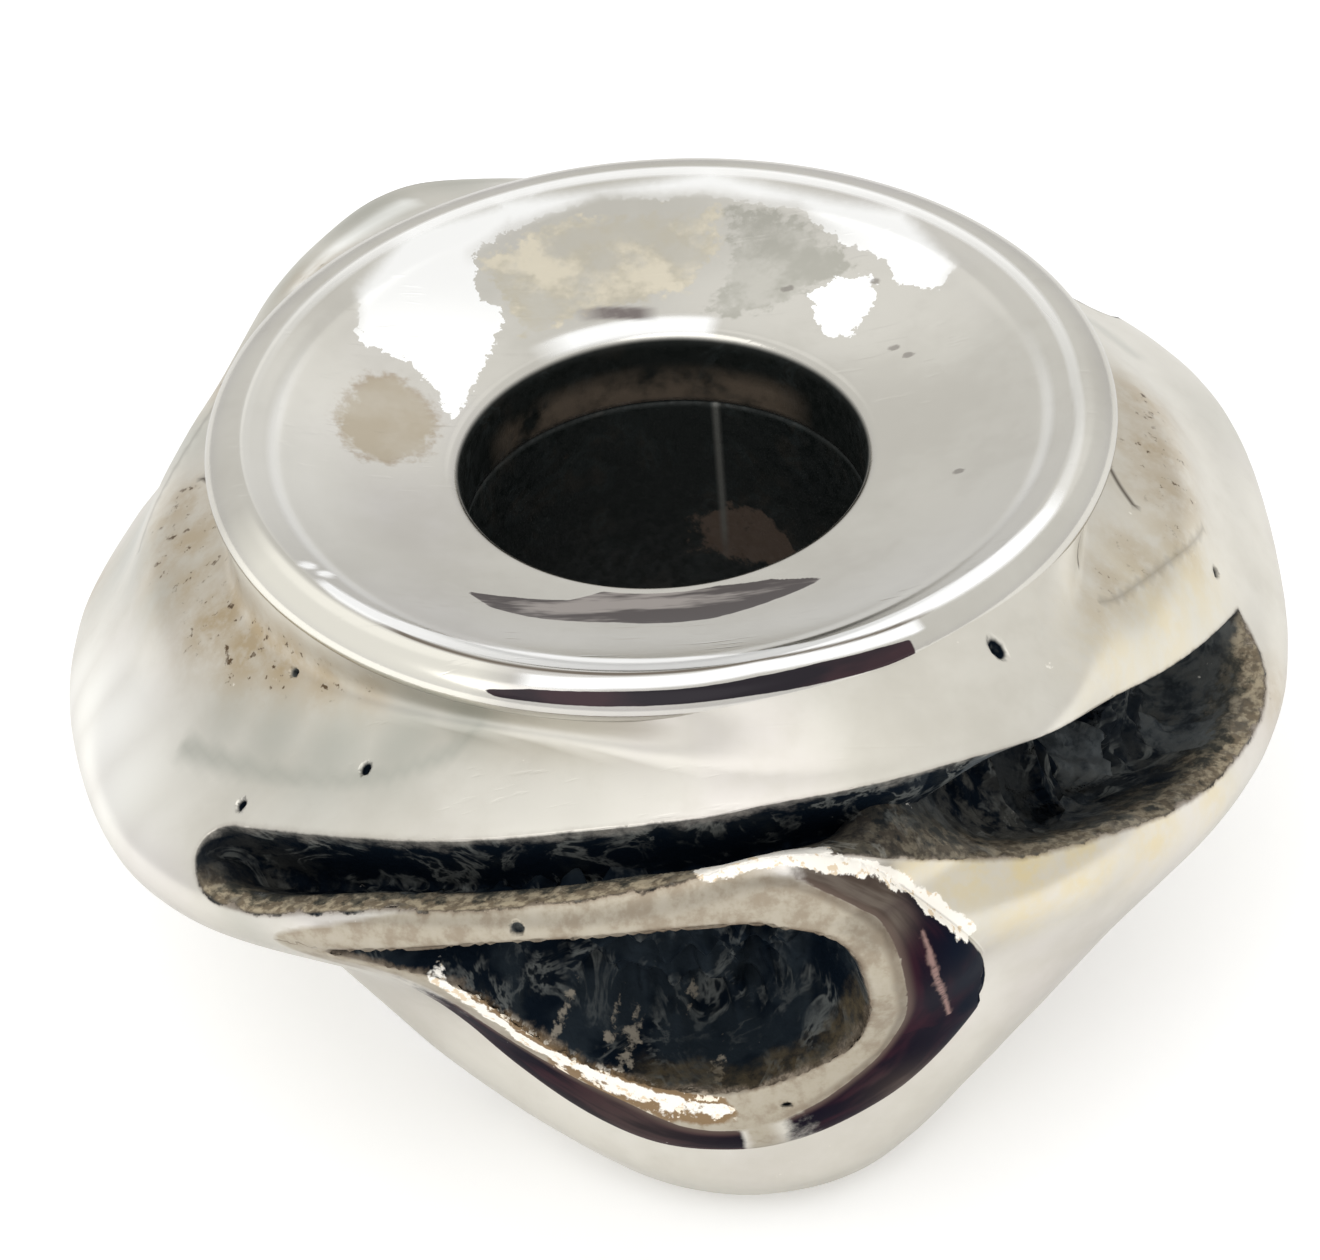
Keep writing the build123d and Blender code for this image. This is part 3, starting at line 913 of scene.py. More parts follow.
# Painted highlights: whitish patches and the lobe's streak; then painted grey shade
colour = shade(times(reading("bright"), 0.95), metal.outputs["Color"], (1.0, 0.99, 0.94, 1))
colour = shade(reading("streak"), colour, (1.0, 1.0, 0.97, 1))
colour = shade(times(reading("painted_shade"), 0.75), colour, (0.43, 0.435, 0.385, 1))
colour = shade(times(sallow_place, 0.9), colour, (0.72, 0.61, 0.37, 1))
colour = shade(times(tan_place, 0.85), colour, (0.46, 0.37, 0.245, 1))
colour = shade(reading("nick"), colour, (0.12, 0.10, 0.08, 1))
specks = times(edge(fine_grain, 0.60, 0.68), edge(tan_place, 0.35, 0.75))
colour = shade(specks, colour, (0.13, 0.09, 0.055, 1))
# The curl's face is browner, gold with painted sparkles beside the pocket, and the mouths' lips keep a thin
# brown line
curl_mask = reading("curl")
face_mask = times(reading("face"), edge(ragged, 0.2, 0.7, 0.75, 1.0))
face = shade(edge(ragged, 0.42, 0.62), (0.42, 0.37, 0.285, 1), (0.34, 0.285, 0.215, 1))
colour = shade(face_mask, colour, face)
along = reading("along")
beside_pocket = times(edge(along, 3.2, 4.6), edge(along, 9.6, 8.2))
face_border = times(edge(some_of(wobble, 0.20, curl_mask), 0.13, 0.04), beside_pocket)
colour = shade(times(times(face_border, face_mask), 0.7), colour, (0.17, 0.135, 0.10, 1))
slot_lower = edge(slot_side, 0.10, -0.25, 0.35, 1.0)
slot_film = times(edge(some_of(wobble, 0.10, slot_mask), -0.07, 0.01), slot_lower)
lip_film = larger(edge(some_of(wobble, 0.12, pocket_mask), -0.08, 0.02), slot_film)
colour = shade(times(lip_film, 0.75), colour, (0.16, 0.115, 0.08, 1))
gold_mask = edge(some_of(wobble, 1.2, reading("gold")), 0.35, 0.65)
gold = shade(edge(fine_grain, 0.54, 0.60), (0.27, 0.185, 0.105, 1), (0.95, 0.86, 0.72, 1))
colour = shade(gold_mask, colour, gold)
# The curl's wall in painted dark reflection, violet and browner at the curl's edge, and the painted
# highlight lines
wall_mask = edge(some_of(wobble, 0.7, reading("wall")), 0.20, 0.55)
by_curl = edge(curl_mask, -0.14, -0.01, 0.0, 0.75)
wall_colour = shade(by_curl, violet.outputs["Color"], (0.15, 0.11, 0.09, 1))
colour = shade(wall_mask, colour, wall_colour)
glint_mask = edge(some_of(wobble, 2.4, reading("glint")), 0.50, 0.70)
glint = shade(edge(fine_grain, 0.56, 0.64), (1.0, 0.96, 0.88, 1), (0.80, 0.66, 0.48, 1))
# The black hollows: worn blocks and dust on the slot's floor, a speckled ledge along its lower side
upper_edge = some_of(wobble, 0.05, slot_mask)
in_slot = edge(some_of(times(low_part, wobble), 0.25, upper_edge), -0.02, 0.015)
in_pocket = edge(some_of(wobble, 0.10, pocket_mask), -0.01, 0.03)
hollow = larger(larger(in_slot, in_pocket), edge(reading("pit"), 0.0, 0.5))
facet_place = times(edge(reading("facet"), 0.35, 0.95), in_slot)
facet_mask = times(facet_place, edge(ragged, 0.36, 0.58, 0.35, 1.0))
pocket_patch = times(in_pocket, edge(grain(place, 1300.0, 3.0, 0.55), 0.42, 0.58))
pocket_tone = shade(times(pocket_patch, 0.6), black.outputs["Color"], (0.026, 0.035, 0.043, 1))
crumb_mask = edge(some_of(minus(fine_grain, 0.5), 2.5, reading("crumb")), 0.75, 1.15)
floor_tone = shade(times(crumb_mask, 0.8), pocket_tone, (0.34, 0.30, 0.24, 1))
blocked = shade(times(facet_mask, 0.9), floor_tone, (0.105, 0.118, 0.125, 1))
dust_mask = times(times(reading("dust"), in_slot), edge(ragged, 0.42, 0.60))
dusty = shade(times(dust_mask, 0.7), blocked, (0.115, 0.112, 0.098, 1))
olive_depth = edge(some_of(wobble, 0.5, reading("pocket_share")), 0.40, 0.15)
olive_mask = times(times(reading("olive"), olive_depth), edge(fine_grain, 0.35, 0.60, 0.4, 1.0))
olived = shade(times(olive_mask, 0.8), dusty, (0.120, 0.092, 0.052, 1))
ledge_reach = edge(some_of(wobble, 0.45, slot_mask), 0.28, 0.19)
ledge_mask = times(times(ledge_reach, low_part), edge(slot_mask, -0.03, 0.02))
ledge_dark = shade(edge(fine_grain, 0.40, 0.62), (0.040, 0.040, 0.034, 1), (0.110, 0.098, 0.074, 1))
ledge_light = shade(edge(fine_grain, 0.42, 0.60), (0.20, 0.16, 0.11, 1), (0.42, 0.355, 0.25, 1))
ledge = shade(edge(some_of(wobble, 0.70, slot_mask), 0.19, 0.07), ledge_dark, ledge_light)
ledged = shade(times(ledge_mask, edge(ragged, 0.30, 0.55, 0.45, 1.0)), olived, ledge)
colour = shade(hollow, colour, ledged)
colour = shade(glint_mask, colour, glint)
dark = minus(larger(hollow, wall_mask), glint_mask)
# Painted highlights: the glint lines and the lobe's streak, which lose most of their metal
painted_highlights = larger(glint_mask, reading("streak"))
skin_roughness = between(larger(reading("solder"), wall_mask), metal.outputs["Roughness"], 0.48)
finish = lay("ShaderNodeBsdfPrincipled", {
    "Base Color": colour,
    "Metallic": times(edge(dark, 0.0, 1.0, 1.0, 0.0), edge(painted_highlights, 0.0, 1.0, 1.0, 0.3)),
    "Roughness": between(glint_mask, between(hollow, skin_roughness, black.outputs["Roughness"]), 0.35),
    "Specular IOR Level": 0.02,
    "Specular Tint": (0.80, 0.80, 0.80, 1),
})
height = between(hollow, times(metal.outputs["Height"], 0.05), black.outputs["Height"])
dress(body, cast_silver, finish, height, 0.00004, 0.8)
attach(body, "root")
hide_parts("body")

# Core tube: the liner that the body is threaded on. It is silver too, never polished, and
# has gone nearly black, with a soldered seam and one brown patch.

tube_reach, tube_wall = 2.25, 0.35
tube_foot, tube_head = 1.53, 5.25
seam_bearing, seam_half = 73.5, 0.028


def turned(name, section, count):
    """A piece turned about the bore's axis from its section (reach, height), upward on the outside."""
    turn = np.linspace(0, 2 * np.pi, count, endpoint=False)
    section = np.array(section)
    points = np.concatenate([
        np.column_stack([section[:, 0] * np.cos(t), section[:, 0] * np.sin(t), section[:, 1]]) for t in turn
    ])
    rows = np.arange(len(section))
    next_rows = (rows + 1) % len(section)
    faces = []
    for here in range(count):
        first, second = here * len(section), (here + 1) % count * len(section)
        faces.append(np.column_stack([first + rows, second + rows, second + next_rows, first + next_rows]))
    return new_piece(name, points, np.vstack(faces).tolist()), points


def fade(value, low, high):
    """A straight step from 0 to 1, either way round."""
    return np.clip((value - low) / (high - low), 0, 1)


def bearing_of(points):
    return np.degrees(np.arctan2(points[:, 1], points[:, 0])) % 360


inner_rows = [(tube_reach, height) for height in np.linspace(tube_head, tube_foot, 45)]
outer_rows = [(tube_reach + tube_wall, height) for height in np.linspace(tube_foot, tube_head, 5)]
tube, tube_points = turned("bore_liner", inner_rows + outer_rows, 512)
bearing = bearing_of(tube_points)
off_seam = np.abs(bearing - seam_bearing) * np.radians(tube_reach)
mark(tube, "seam", fade(off_seam, 2 * seam_half, 0.5 * seam_half) * fade(tube_points[:, 2], 3.0, 3.5))
mark(tube, "patch", fade(np.hypot((bearing - 67) / 17, (tube_points[:, 2] - 3.4) / 0.48), 1.25, 0.6))
dark_silver, place = new_material("dark_silver")
film = lay("ShaderNodeGroup", {
    "Place": place, "Black": (0.006, 0.009, 0.008, 1), "Crust": (0.030, 0.026, 0.020, 1),
    "Worn": (0.016, 0.024, 0.024, 1), "Crust amount": 0.6,
}, node_tree=soot)
patch_mask = edge(some_of(grain(place, 2600.0, 4.0, 0.65), 2.4, reading("patch")), 1.65, 1.95)
patched = shade(patch_mask, film.outputs["Color"], (0.115, 0.080, 0.058, 1))
finish = lay("ShaderNodeBsdfPrincipled", {
    "Base Color": shade(times(reading("seam"), 0.8), patched, (0.16, 0.16, 0.145, 1)),
    "Roughness": film.outputs["Roughness"],
    "Metallic": 0.3,
})
dress(tube, dark_silver, finish, film.outputs["Height"], 0.00003, 0.6)
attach(tube, "root")
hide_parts("core_tube")

# Lower collar: a turned ring of polished silver, soldered into the body's foot. Its neck
# goes up into the bore, and the bead stands on its rounded rim.

neck_reach, collar_wall = 2.25, 0.35
collar_lip, collar_roll = 0.42, 0.18


def arc(middle, radii, first, last, steps):
    """Points of an upright ellipse's arc, its angles counted from the outward side."""
    turn = np.radians(np.linspace(first, last, steps))
    return [(middle[0] + radii[0] * np.cos(t), middle[1] + radii[1] * np.sin(t)) for t in turn]


def sagging(first, last, sag, steps):
    """Points of a shallow hollow curve between two points, without its ends."""
    share = np.linspace(0, 1, steps)[1:-1]
    reach = first[0] + (last[0] - first[0]) * share
    height = first[1] + (last[1] - first[1]) * share + 4 * share * (1 - share) * sag
    return list(zip(reach, height))


def collar_section(seat, rim, rim_reach, hub, neck_end, fall, lip_steps, dish_steps):
    """A collar's section, from its neck's foot over the outside, the lip and the dish down the bore."""
    way = 1 if rim > seat else -1
    crest = (rim_reach - collar_lip, rim)
    dish_edge = (neck_reach + collar_roll, rim - way * fall)
    half = abs(rim - seat) / 2
    lip_arc = arc((rim_reach - collar_lip, (seat + rim) / 2), (collar_lip, half * way), -90, 90, lip_steps)
    dish = sagging(crest, dish_edge, -way * 0.14 * fall, dish_steps)
    roll_middle = (neck_reach + collar_roll, dish_edge[1] - way * collar_roll)
    rolled = arc(roll_middle, (collar_roll, collar_roll * way), 90, 180, 9)
    neck = [(neck_reach, height) for height in np.linspace(rolled[-1][1], neck_end, 14)[1:]]
    outside = [(neck_reach + collar_wall, neck_end), (neck_reach + collar_wall, hub)]
    return outside + lip_arc + dish + rolled + neck


def bore_mask(place):
    """1 on the neck's wall and 0 on the dish, in a collar's material."""
    spot = lay("ShaderNodeSeparateXYZ", {0: place}).outputs
    from_axis = figure("SQRT", some_of(spot[0], spot[0], times(spot[1], spot[1])))
    return edge(from_axis, 0.00232, 0.00227)


# Drawn downward, so its section is turned over to keep the outside out
section = collar_section(
    seat=0.5, rim=0.0, rim_reach=4.0, hub=0.85, neck_end=1.5, fall=0.4, lip_steps=41, dish_steps=30,
)
lower_collar, _ = turned("lower_collar_ring", section[::-1], 384)
bright_silver, place = new_material("bright_silver")
metal = lay("ShaderNodeGroup", {
    "Place": place, "Silver": (0.77, 0.76, 0.75, 1), "Film": (0.60, 0.58, 0.55, 1), "Film amount": 0.7,
    "Gloss": 0.14, "Haze": 0.12,
}, node_tree=polish)
black = lay("ShaderNodeGroup", {
    "Place": place, "Crust": (0.06, 0.045, 0.035, 1),
}, node_tree=soot)
in_bore = bore_mask(place)
finish = lay("ShaderNodeBsdfPrincipled", {
    "Base Color": shade(in_bore, metal.outputs["Color"], black.outputs["Color"]),
    "Roughness": between(in_bore, metal.outputs["Roughness"], black.outputs["Roughness"]),
    "Metallic": edge(in_bore, 0.0, 1.0, 1.0, 0.3),
    "Specular Tint": (0.80, 0.80, 0.80, 1),
})
dress(lower_collar, bright_silver, finish, metal.outputs["Height"], 0.000004, 0.5)
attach(lower_collar, "root")
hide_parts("lower_collar")

# Upper collar: the wide, dished ring that shows on top. It is turned and polished like the
# lower one and soldered into the body's countersink. Its dish is filmed; the white patches on it
# and the lines over its rim are painted highlights, and the violet band and thin dark line under
# the rim's front are painted dark reflections.

upper_seat_height, upper_rim, upper_reach = 6.28, 6.8, 5.05
groove_reach, groove_depth = 4.28, 0.008
# At this reach the dish ends and the neck's wall begins
neck_edge = 2.3
# Painted highlight patches, where the dish reflects the soft lights, and films of the dish, as bearing and
# reach in millimetres
highlight_left = [
    (139, 4.4), (147, 3.9), (146, 3.3), (150, 2.9), (157, 2.5), (143, 2.55), (131, 2.8), (121, 3.2),
    (123, 3.55), (119, 4.05), (108, 4.3), (104, 4.6), (125, 4.7),
]
highlight_right = [(56, 3.2), (53, 3.5), (47, 3.7), (43, 3.5), (40, 3.0), (43, 2.75), (51, 2.9)]
highlight_back = [
    (112, 4.2), (96, 4.35), (80, 4.3), (66, 4.25), (57, 4.0), (47, 3.9), (42, 3.75), (35, 3.9),
    (36, 4.3), (50, 4.6), (80, 4.66), (112, 4.66),
]
beige_film = [
    (120, 3.5), (119, 4.0), (103, 4.25), (78, 4.2), (76, 3.6), (80, 3.0), (92, 2.8), (106, 2.75),
    (122, 2.75),
]
grey_film = [(77, 4.2), (66, 4.2), (50, 3.8), (55, 3.3), (60, 2.9), (70, 2.55), (78, 2.6), (75, 3.4)]
pink_film = [
    (166, 3.85), (153, 3.68), (148, 3.36), (152, 2.8), (160, 2.5), (173, 2.55), (180, 3.05), (176, 3.6),
]
# The painted highlight line over the rim's front: bearing, reach and half width in millimetres
rim_line = np.array([
    (0, 4.60, 0.06), (205, 4.60, 0.05), (214, 4.57, 0.06), (219, 4.57, 0.09), (225, 4.55, 0.11),
    (231, 4.50, 0.14), (237, 4.45, 0.16), (243, 4.42, 0.18), (250, 4.38, 0.20), (262, 4.35, 0.21),
    (272, 4.37, 0.20), (281, 4.46, 0.17), (289, 4.58, 0.13), (299, 4.63, 0.12), (309, 4.67, 0.12),
    (320, 4.71, 0.10), (331, 4.74, 0.07), (350, 4.66, 0.05), (360, 4.60, 0.06),
])
dish_specks = [(30, 3.08), (26, 3.14), (46, 3.65), (61, 3.18), (344, 3.35)]

section = np.array(collar_section(
    seat=upper_seat_height, rim=upper_rim, rim_reach=upper_reach, hub=5.88, neck_end=5.28, fall=0.62,
    lip_steps=81, dish_steps=62,
))
in_dish = (section[:, 0] < upper_reach - collar_lip - 0.01) & (section[:, 1] > 6.1)
section[:, 1] -= np.where(in_dish, groove_depth * np.exp(-((section[:, 0] - groove_reach) / 0.07) ** 2), 0)
upper_collar, collar_points = turned("upper_collar_dish", section, 512)
reach, height = np.hypot(collar_points[:, 0], collar_points[:, 1]), collar_points[:, 2]
bearing = bearing_of(collar_points)
lip_middle = (upper_reach - collar_lip, (upper_seat_height + upper_rim) / 2)
lip_out = (reach - lip_middle[0]) / collar_lip
lip_up = (height - lip_middle[1]) / (upper_rim - lip_middle[1])
# How far over the rim's rounding a point lies: 0 degrees on its crest, 90 where it is widest
over_lip = np.degrees(np.arctan2(lip_out, lip_up))
on_dish = (height > 6.0) & (reach > neck_edge) & (over_lip < 1)
on_crest = (height > 6.4) & (over_lip < 60)


def by_bearing(*pairs):
    """A value that follows the bearing, from pairs of the two."""
    return np.interp(bearing, *np.transpose(pairs))


def patch(loop):
    """Signed distance into a patch of the dish, in millimetres."""
    turn, out = np.radians([b for b, _ in loop]), np.array([r for _, r in loop])
    knots = np.column_stack([out * np.cos(turn), out * np.sin(turn)])
    flat = collar_points[:, :2]
    inside = within(flat, knots)
    off = from_line(flat, knots)[0]
    return signed(off, inside) * on_dish - far_off * ~on_dish


# White patches of the dish: painted highlights
mark(upper_collar, "dish_highlight_patch", np.max([patch(highlight_left), patch(highlight_right), patch(highlight_back)], axis=0))
for name, film in (("beige", beige_film), ("grey", grey_film), ("pink", pink_film)):
    mark(upper_collar, name, patch(film))
# The violet band under the rim's front, a painted dark reflection, tapers to the left and ends bluntly on
# the right
band_top = by_bearing(
    (244, 60), (247, 55), (251, 45), (256, 41), (262, 38), (272, 37), (280, 33), (288, 34), (296, 43),
    (300, 50),
)
band_low = by_bearing(
    (244, 64), (247, 74), (256, 72), (262, 71), (272, 70), (279, 71), (287, 77), (296, 87), (300, 101),
)
band = fade(over_lip, band_top - 3, band_top + 3) * fade(over_lip, band_low, band_low - 8)
mark(upper_collar, "band", band * fade(bearing, 244.5, 246.5) * fade(bearing, 300.5, 299.8))
# A thin dark line over the rim's front, a painted dark reflection
thin_at = by_bearing(
    (229, 4), (233, 5), (245, 6), (262, 4), (272, 2), (281, 1), (289, 8), (297, 16), (303, 20),
)
thin = fade(np.abs(over_lip - thin_at), 4.5, 2.2) * fade(bearing, 226, 231) * fade(bearing, 306, 300)
mark(upper_collar, "thin_line", thin)
# Painted highlights: the line over the front of the rim's crest, a second one below it with two ticks, the
# turned groove and the bore's edge
line_reach, line_half = [np.interp(bearing, rim_line[:, 0], column) for column in rim_line.T[1:]]
crest = fade(np.abs(reach - line_reach), line_half + 0.02, line_half - 0.02) * on_crest
crest *= by_bearing(
    (0, 0.3), (60, 0.8), (120, 0.8), (160, 0.1), (213, 0), (215, 1), (330, 1), (336, 0.3), (360, 0.3),
)
second_at = by_bearing(
    (250, 29), (256, 26), (262, 22), (272, 20), (280, 15), (288, 20), (297, 29), (301, 33),
)
second = fade(np.abs(over_lip - second_at), 13, 10) * fade(bearing, 248.5, 251) * fade(bearing, 303, 302)
for turn, out in ((212.2, 4.42), (209.6, 4.52)):
    tick = fade(np.hypot((bearing - turn) * 0.078, (reach - out) * 0.7), 0.09, 0.05)
    second = np.maximum(second, tick * on_crest)
# Painted light: the rim's outer side at the front left is paler and warmer, so its shading fades into the
# body's tone
outer_lip = fade(over_lip, 6, 13) * fade(over_lip, 115, 100)
mark(upper_collar, "outer_lip", outer_lip * fade(bearing, 194, 206) * fade(bearing, 249, 243))
ring = 0.3 * fade(np.abs(reach - groove_reach), 0.09, 0.03) * on_dish
ring *= by_bearing(
    (0, 1), (20, 0), (150, 0), (170, 1), (215, 1), (240, 0), (320, 0), (340, 1), (360, 1),
)
bore_highlight = fade(np.abs(reach - 2.46), 0.16, 0.10) * on_dish
bore_highlight *= fade(bearing, 72, 76) * fade(bearing, 124, 112)
mark(upper_collar, "bright", np.max([crest, second, ring, bore_highlight], axis=0))
# The dark crescent in the dish's front, with a short dark streak, specks and paler metal round it
crescent_out = by_bearing(
    (226, 3.26), (234, 3.38), (242, 3.33), (250, 3.24), (258, 3.17), (269, 3.19), (278, 3.19),
    (288, 3.11), (304, 3.05),
)
crescent_in = by_bearing(
    (226, 3.24), (235, 2.97), (246, 2.74), (252, 2.46), (282, 2.44), (294, 2.60), (304, 3.0),
)
mark(upper_collar, "by_bore", fade(reach, 3.0, 2.7))
mark(upper_collar, "by_rim", fade(reach, 3.9, 4.35))
crescent = fade(reach, crescent_in, crescent_in + 0.05) * fade(reach, crescent_out, crescent_out - 0.05)
mark(upper_collar, "crescent", crescent * on_dish * fade(bearing, 225, 227) * fade(bearing, 304, 300))
streak_reach = 2.72 + 0.08 * np.sin(np.radians((bearing - 98) * 8))
streak = fade(np.abs(reach - streak_reach), 0.12, 0.07) * on_dish
mark(upper_collar, "streak", streak * fade(bearing, 88, 93) * fade(bearing, 108, 101))
smudge = np.zeros(len(reach))
for turn, out in dish_specks:
    at = out * np.cos(np.radians(turn)), out * np.sin(np.radians(turn))
    off = np.hypot(collar_points[:, 0] - at[0], 1.6 * (collar_points[:, 1] - at[1]))
    smudge = np.maximum(smudge, fade(off, 0.14, 0.03) * on_dish)
mark(upper_collar, "smudge", smudge)
pale = fade(reach, 3.2, 3.9) * on_dish
mark(upper_collar, "pale", pale * by_bearing(
    (0, 0), (150, 0), (185, 1), (212, 0.3), (235, 0.4), (252, 1.3), (290, 1.3), (330, 0.2), (360, 0),
))
neck = fade(height, 5.80, 5.55) * fade(bearing, 40, 55) * fade(bearing, 150, 135)
mark(upper_collar, "neck", np.where(reach < neck_edge, neck, 0))

dished_silver, place = new_material("dished_silver")
metal = lay("ShaderNodeGroup", {
    "Place": place, "Silver": (0.62, 0.60, 0.55, 1), "Film": (0.52, 0.50, 0.45, 1),
    "Blush": (0.59, 0.565, 0.55, 1), "Film amount": 0.6, "Gloss": 0.13, "Haze": 0.12,
}, node_tree=polish)
black = lay("ShaderNodeGroup", {
    "Place": place, "Black": (0.006, 0.008, 0.007, 1), "Crust": (0.035, 0.028, 0.022, 1),
    "Worn": (0.02, 0.026, 0.026, 1),
}, node_tree=soot)
rim_streaks = lay("ShaderNodeMapping", {"Vector": place, "Scale": (700.0, 700.0, 3000.0)}).outputs[0]
violet = lay("ShaderNodeGroup", {
    "Streaks": rim_streaks, "Brown amount": 0.1,
}, node_tree=dark_reflection)
flecks = grain(place, 2600.0, 4.0, 0.65)
blotches = grain(place, 1100.0, 4.0, 0.6)
crumbs = grain(place, 9000.0, 3.0, 0.6)
toothed = some_of(minus(crumbs, 0.5), 0.30, some_of(flecks, 0.30, -0.15))
soft_blotch = edge(some_of(minus(flecks, 0.5), 0.8, blotches), 0.32, 0.62, 0.35, 1.0)


def film_over(colour, name, tint, width):
    amount = edge(some_of(toothed, 1.6, reading(name)), 0.0, width)
    return shade(times(amount, soft_blotch), colour, tint)


beige_pale = edge(some_of(crumbs, 0.25, blotches), 0.54, 0.76)
beige = shade(beige_pale, (0.555, 0.515, 0.42, 1), (0.75, 0.69, 0.56, 1))
colour = shade(times(reading("pale"), 0.6), metal.outputs["Color"], (0.80, 0.785, 0.74, 1))
colour = film_over(colour, "beige", beige, 0.15)
colour = film_over(colour, "grey", (0.45, 0.44, 0.39, 1), 0.15)
pink = shade(edge(reading("pink"), 0.04, 0.20), (0.37, 0.30, 0.225, 1), (0.44, 0.385, 0.295, 1))
pink_mask = edge(some_of(toothed, 1.2, reading("pink")), 0.0, 0.20)
colour = shade(times(pink_mask, edge(blotches, 0.35, 0.60, 0.70, 0.95)), colour, pink)
# Painted light on the rim's outer side at the front left
colour = shade(times(reading("outer_lip"), 0.85), colour, (0.86, 0.835, 0.75, 1))
# Painted highlight patches: white where the dish reflects the soft lights, torn at the edge on the dish and
# softer by the rim
torn_edge = edge(some_of(toothed, 0.9, reading("dish_highlight_patch")), 0.0, 0.02)
soft_edge = edge(some_of(toothed, 0.15, reading("dish_highlight_patch")), -0.06, 0.16)
dish_highlight = between(reading("by_rim"), torn_edge, soft_edge)
colour = shade(dish_highlight, colour, (1.0, 1.0, 0.99, 1))
# Painted highlights on the rim, the groove and the bore's edge, then the thin painted dark reflection line
colour = shade(reading("bright"), colour, (1.0, 1.0, 0.99, 1))
colour = shade(times(reading("thin_line"), 0.9), colour, (0.14, 0.11, 0.08, 1))
bore_streak = times(reading("streak"), edge(flecks, 0.30, 0.50, 0.75, 0.95))
colour = shade(bore_streak, colour, (0.20, 0.17, 0.165, 1))
smudge_mask = edge(some_of(toothed, 3.0, reading("smudge")), 0.45, 0.85, 0.0, 0.7)
colour = shade(smudge_mask, colour, (0.24, 0.22, 0.20, 1))
around_place = lay("ShaderNodeMapping", {"Vector": place, "Scale": (600.0, 3600.0, 3600.0)}).outputs[0]
streaks = grain(around_place, 1.0, 4.0, 0.6)
crescent_mask = edge(some_of(toothed, 1.2, reading("crescent")), 0.30, 0.65)
crescent_pale = edge(some_of(reading("by_bore"), 0.10, streaks), 0.52, 0.68)
crescent_tint = shade(crescent_pale, (0.060, 0.048, 0.046, 1), (0.30, 0.27, 0.25, 1))
colour = shade(crescent_mask, colour, crescent_tint)
# The violet band: painted dark reflection
band_mask = edge(some_of(toothed, 0.8, reading("band")), 0.35, 0.6)
colour = shade(band_mask, colour, violet.outputs["Color"])
in_bore = bore_mask(place)
neck_mask = times(reading("neck"), edge(blotches, 0.36, 0.58))
bore_colour = shade(neck_mask, black.outputs["Color"], (0.115, 0.088, 0.064, 1))
dark = larger(larger(in_bore, band_mask), crescent_mask)
finish = lay("ShaderNodeBsdfPrincipled", {
    "Base Color": shade(in_bore, colour, bore_colour),
    "Roughness": between(in_bore, metal.outputs["Roughness"], black.outputs["Roughness"]),
    "Metallic": times(edge(dark, 0.0, 1.0, 1.0, 0.15), edge(reading("bright"), 0.0, 1.0, 1.0, 0.3)),
    "Specular IOR Level": 0.3,
    "Specular Tint": (0.80, 0.80, 0.80, 1),
})
dress(upper_collar, dished_silver, finish, metal.outputs["Height"], 0.000004, 0.5)
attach(upper_collar, "root")
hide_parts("upper_collar")

# The table, the light and the camera: a plain pale floor in soft daylight, seen from the
# photograph's side.

floor_mesh = bpy.data.meshes.new("floor")
floor_mesh.from_pydata([(-1, -1, 0), (1, -1, 0), (1, 1, 0), (-1, 1, 0)], [], [(0, 1, 2, 3)])
floor = bpy.data.objects.new("floor", floor_mesh)
bpy.context.scene.collection.objects.link(floor)
pale_floor = bpy.data.materials.new("pale_floor")
pale_floor.use_nodes = True
plain = pale_floor.node_tree.nodes["Principled BSDF"].inputs
plain["Base Color"].default_value = (0.95, 0.95, 0.95, 1)
plain["Roughness"].default_value = 0.9
plain["Emission Color"].default_value = (1, 1, 1, 1)
plain["Emission Strength"].default_value = 0.25
floor_mesh.materials.append(pale_floor)

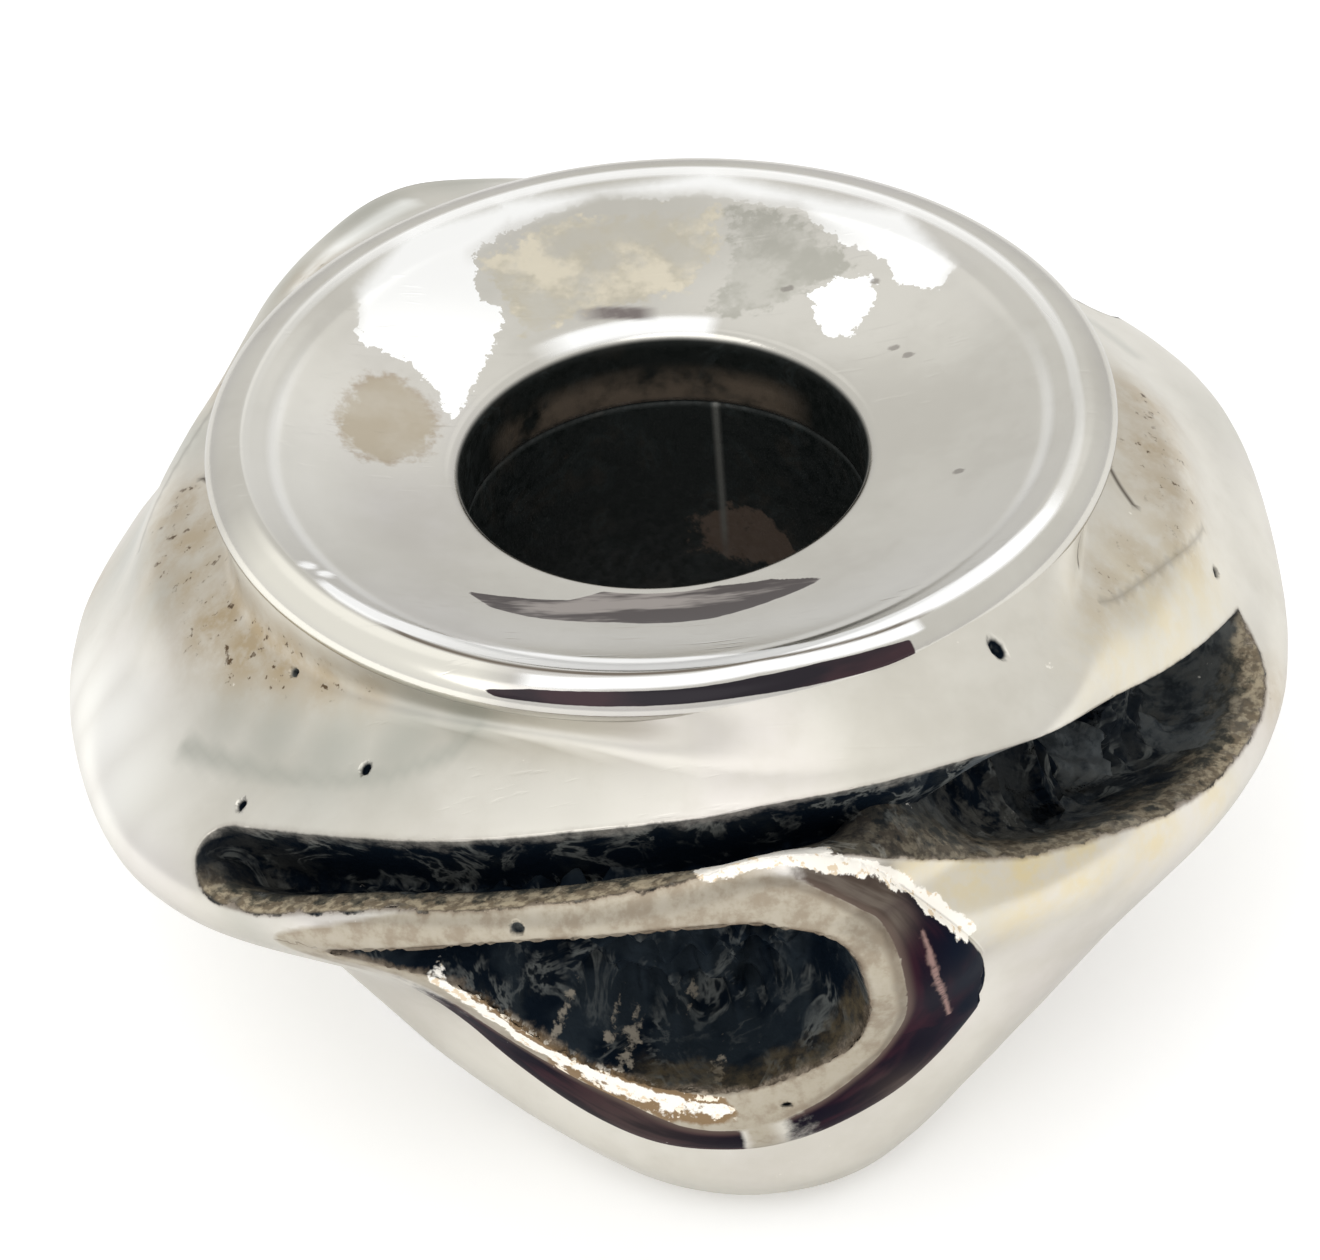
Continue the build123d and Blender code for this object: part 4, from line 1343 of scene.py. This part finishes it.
world = bpy.data.worlds.new("daylight")
bpy.context.scene.world = world
world.use_nodes = True
tree = world.node_tree
tree.nodes.clear()
way = lay("ShaderNodeSeparateXYZ", {0: lay("ShaderNodeTexCoord").outputs["Generated"]}).outputs
sky = shade(edge(way[2], 0.0, 0.55), (0.83, 0.83, 0.84, 1), (0.92, 0.92, 0.91, 1))
backdrop = lay("ShaderNodeBackground", {"Color": sky, "Strength": 1.0})
tree.links.new(backdrop.outputs[0], lay("ShaderNodeOutputWorld").inputs[0])


def soft_lamp(name, toward, distance, width, watts):
    """A round soft light that shines back at the bead from a direction."""
    light = bpy.data.lights.new(name, "AREA")
    light.shape = "DISK"
    light.size = width
    light.energy = watts
    lamp = bpy.data.objects.new(name, light)
    lamp.location = Vector(toward).normalized() * distance
    lamp.rotation_euler = (-Vector(toward)).to_track_quat("-Z", "Y").to_euler()
    bpy.context.scene.collection.objects.link(lamp)


soft_lamp("window_right", (0.263, 0.649, 0.713), 0.4, 0.16, 0.012)
soft_lamp("window_left", (-0.215, 0.56, 0.80), 0.4, 0.16, 0.012)
soft_lamp("ceiling", (-0.25, -0.45, 0.85), 0.5, 0.50, 0.50)

# How the photograph was taken: tilt and lean in degrees, pixels per millimetre over the bore, its
# width in pixels and the lens's distance in millimetres
look_down, lean = np.radians(36.8), np.radians(4.4)
photo_scale, photo_width, camera_distance = 90.5, 1320, 110
# The frame's middle lies a little beside and below the bore's middle, as shares of the distance
frame_beside, frame_below = 0.00159, 0.01932
aim_at = Vector((0, 0, 6.45 * mm))
ahead = Vector((0, np.cos(look_down), -np.sin(look_down)))
above = Vector((0, np.sin(look_down), np.cos(look_down)))
camera_data = bpy.data.cameras.new("camera")
camera_data.sensor_width = 36.0
camera_data.lens = photo_scale * camera_distance / photo_width * camera_data.sensor_width
camera = bpy.data.objects.new("camera", camera_data)
ahead_shifted = (ahead - frame_beside * Vector((1, 0, 0)) - frame_below * above).normalized()
sideways = ahead_shifted.cross(above).normalized()
upright = sideways.cross(ahead_shifted)
turned_side = sideways * np.cos(lean) - upright * np.sin(lean)
turned_up = upright * np.cos(lean) + sideways * np.sin(lean)
standpoint = aim_at - ahead * camera_distance * mm
columns = zip(turned_side, turned_up, -ahead_shifted, standpoint)
camera.matrix_world = Matrix([*columns, (0, 0, 0, 1)])
camera_data.clip_start = 0.01
bpy.context.scene.collection.objects.link(camera)
bpy.context.scene.camera = camera
bpy.context.scene.view_settings.view_transform = "Standard"
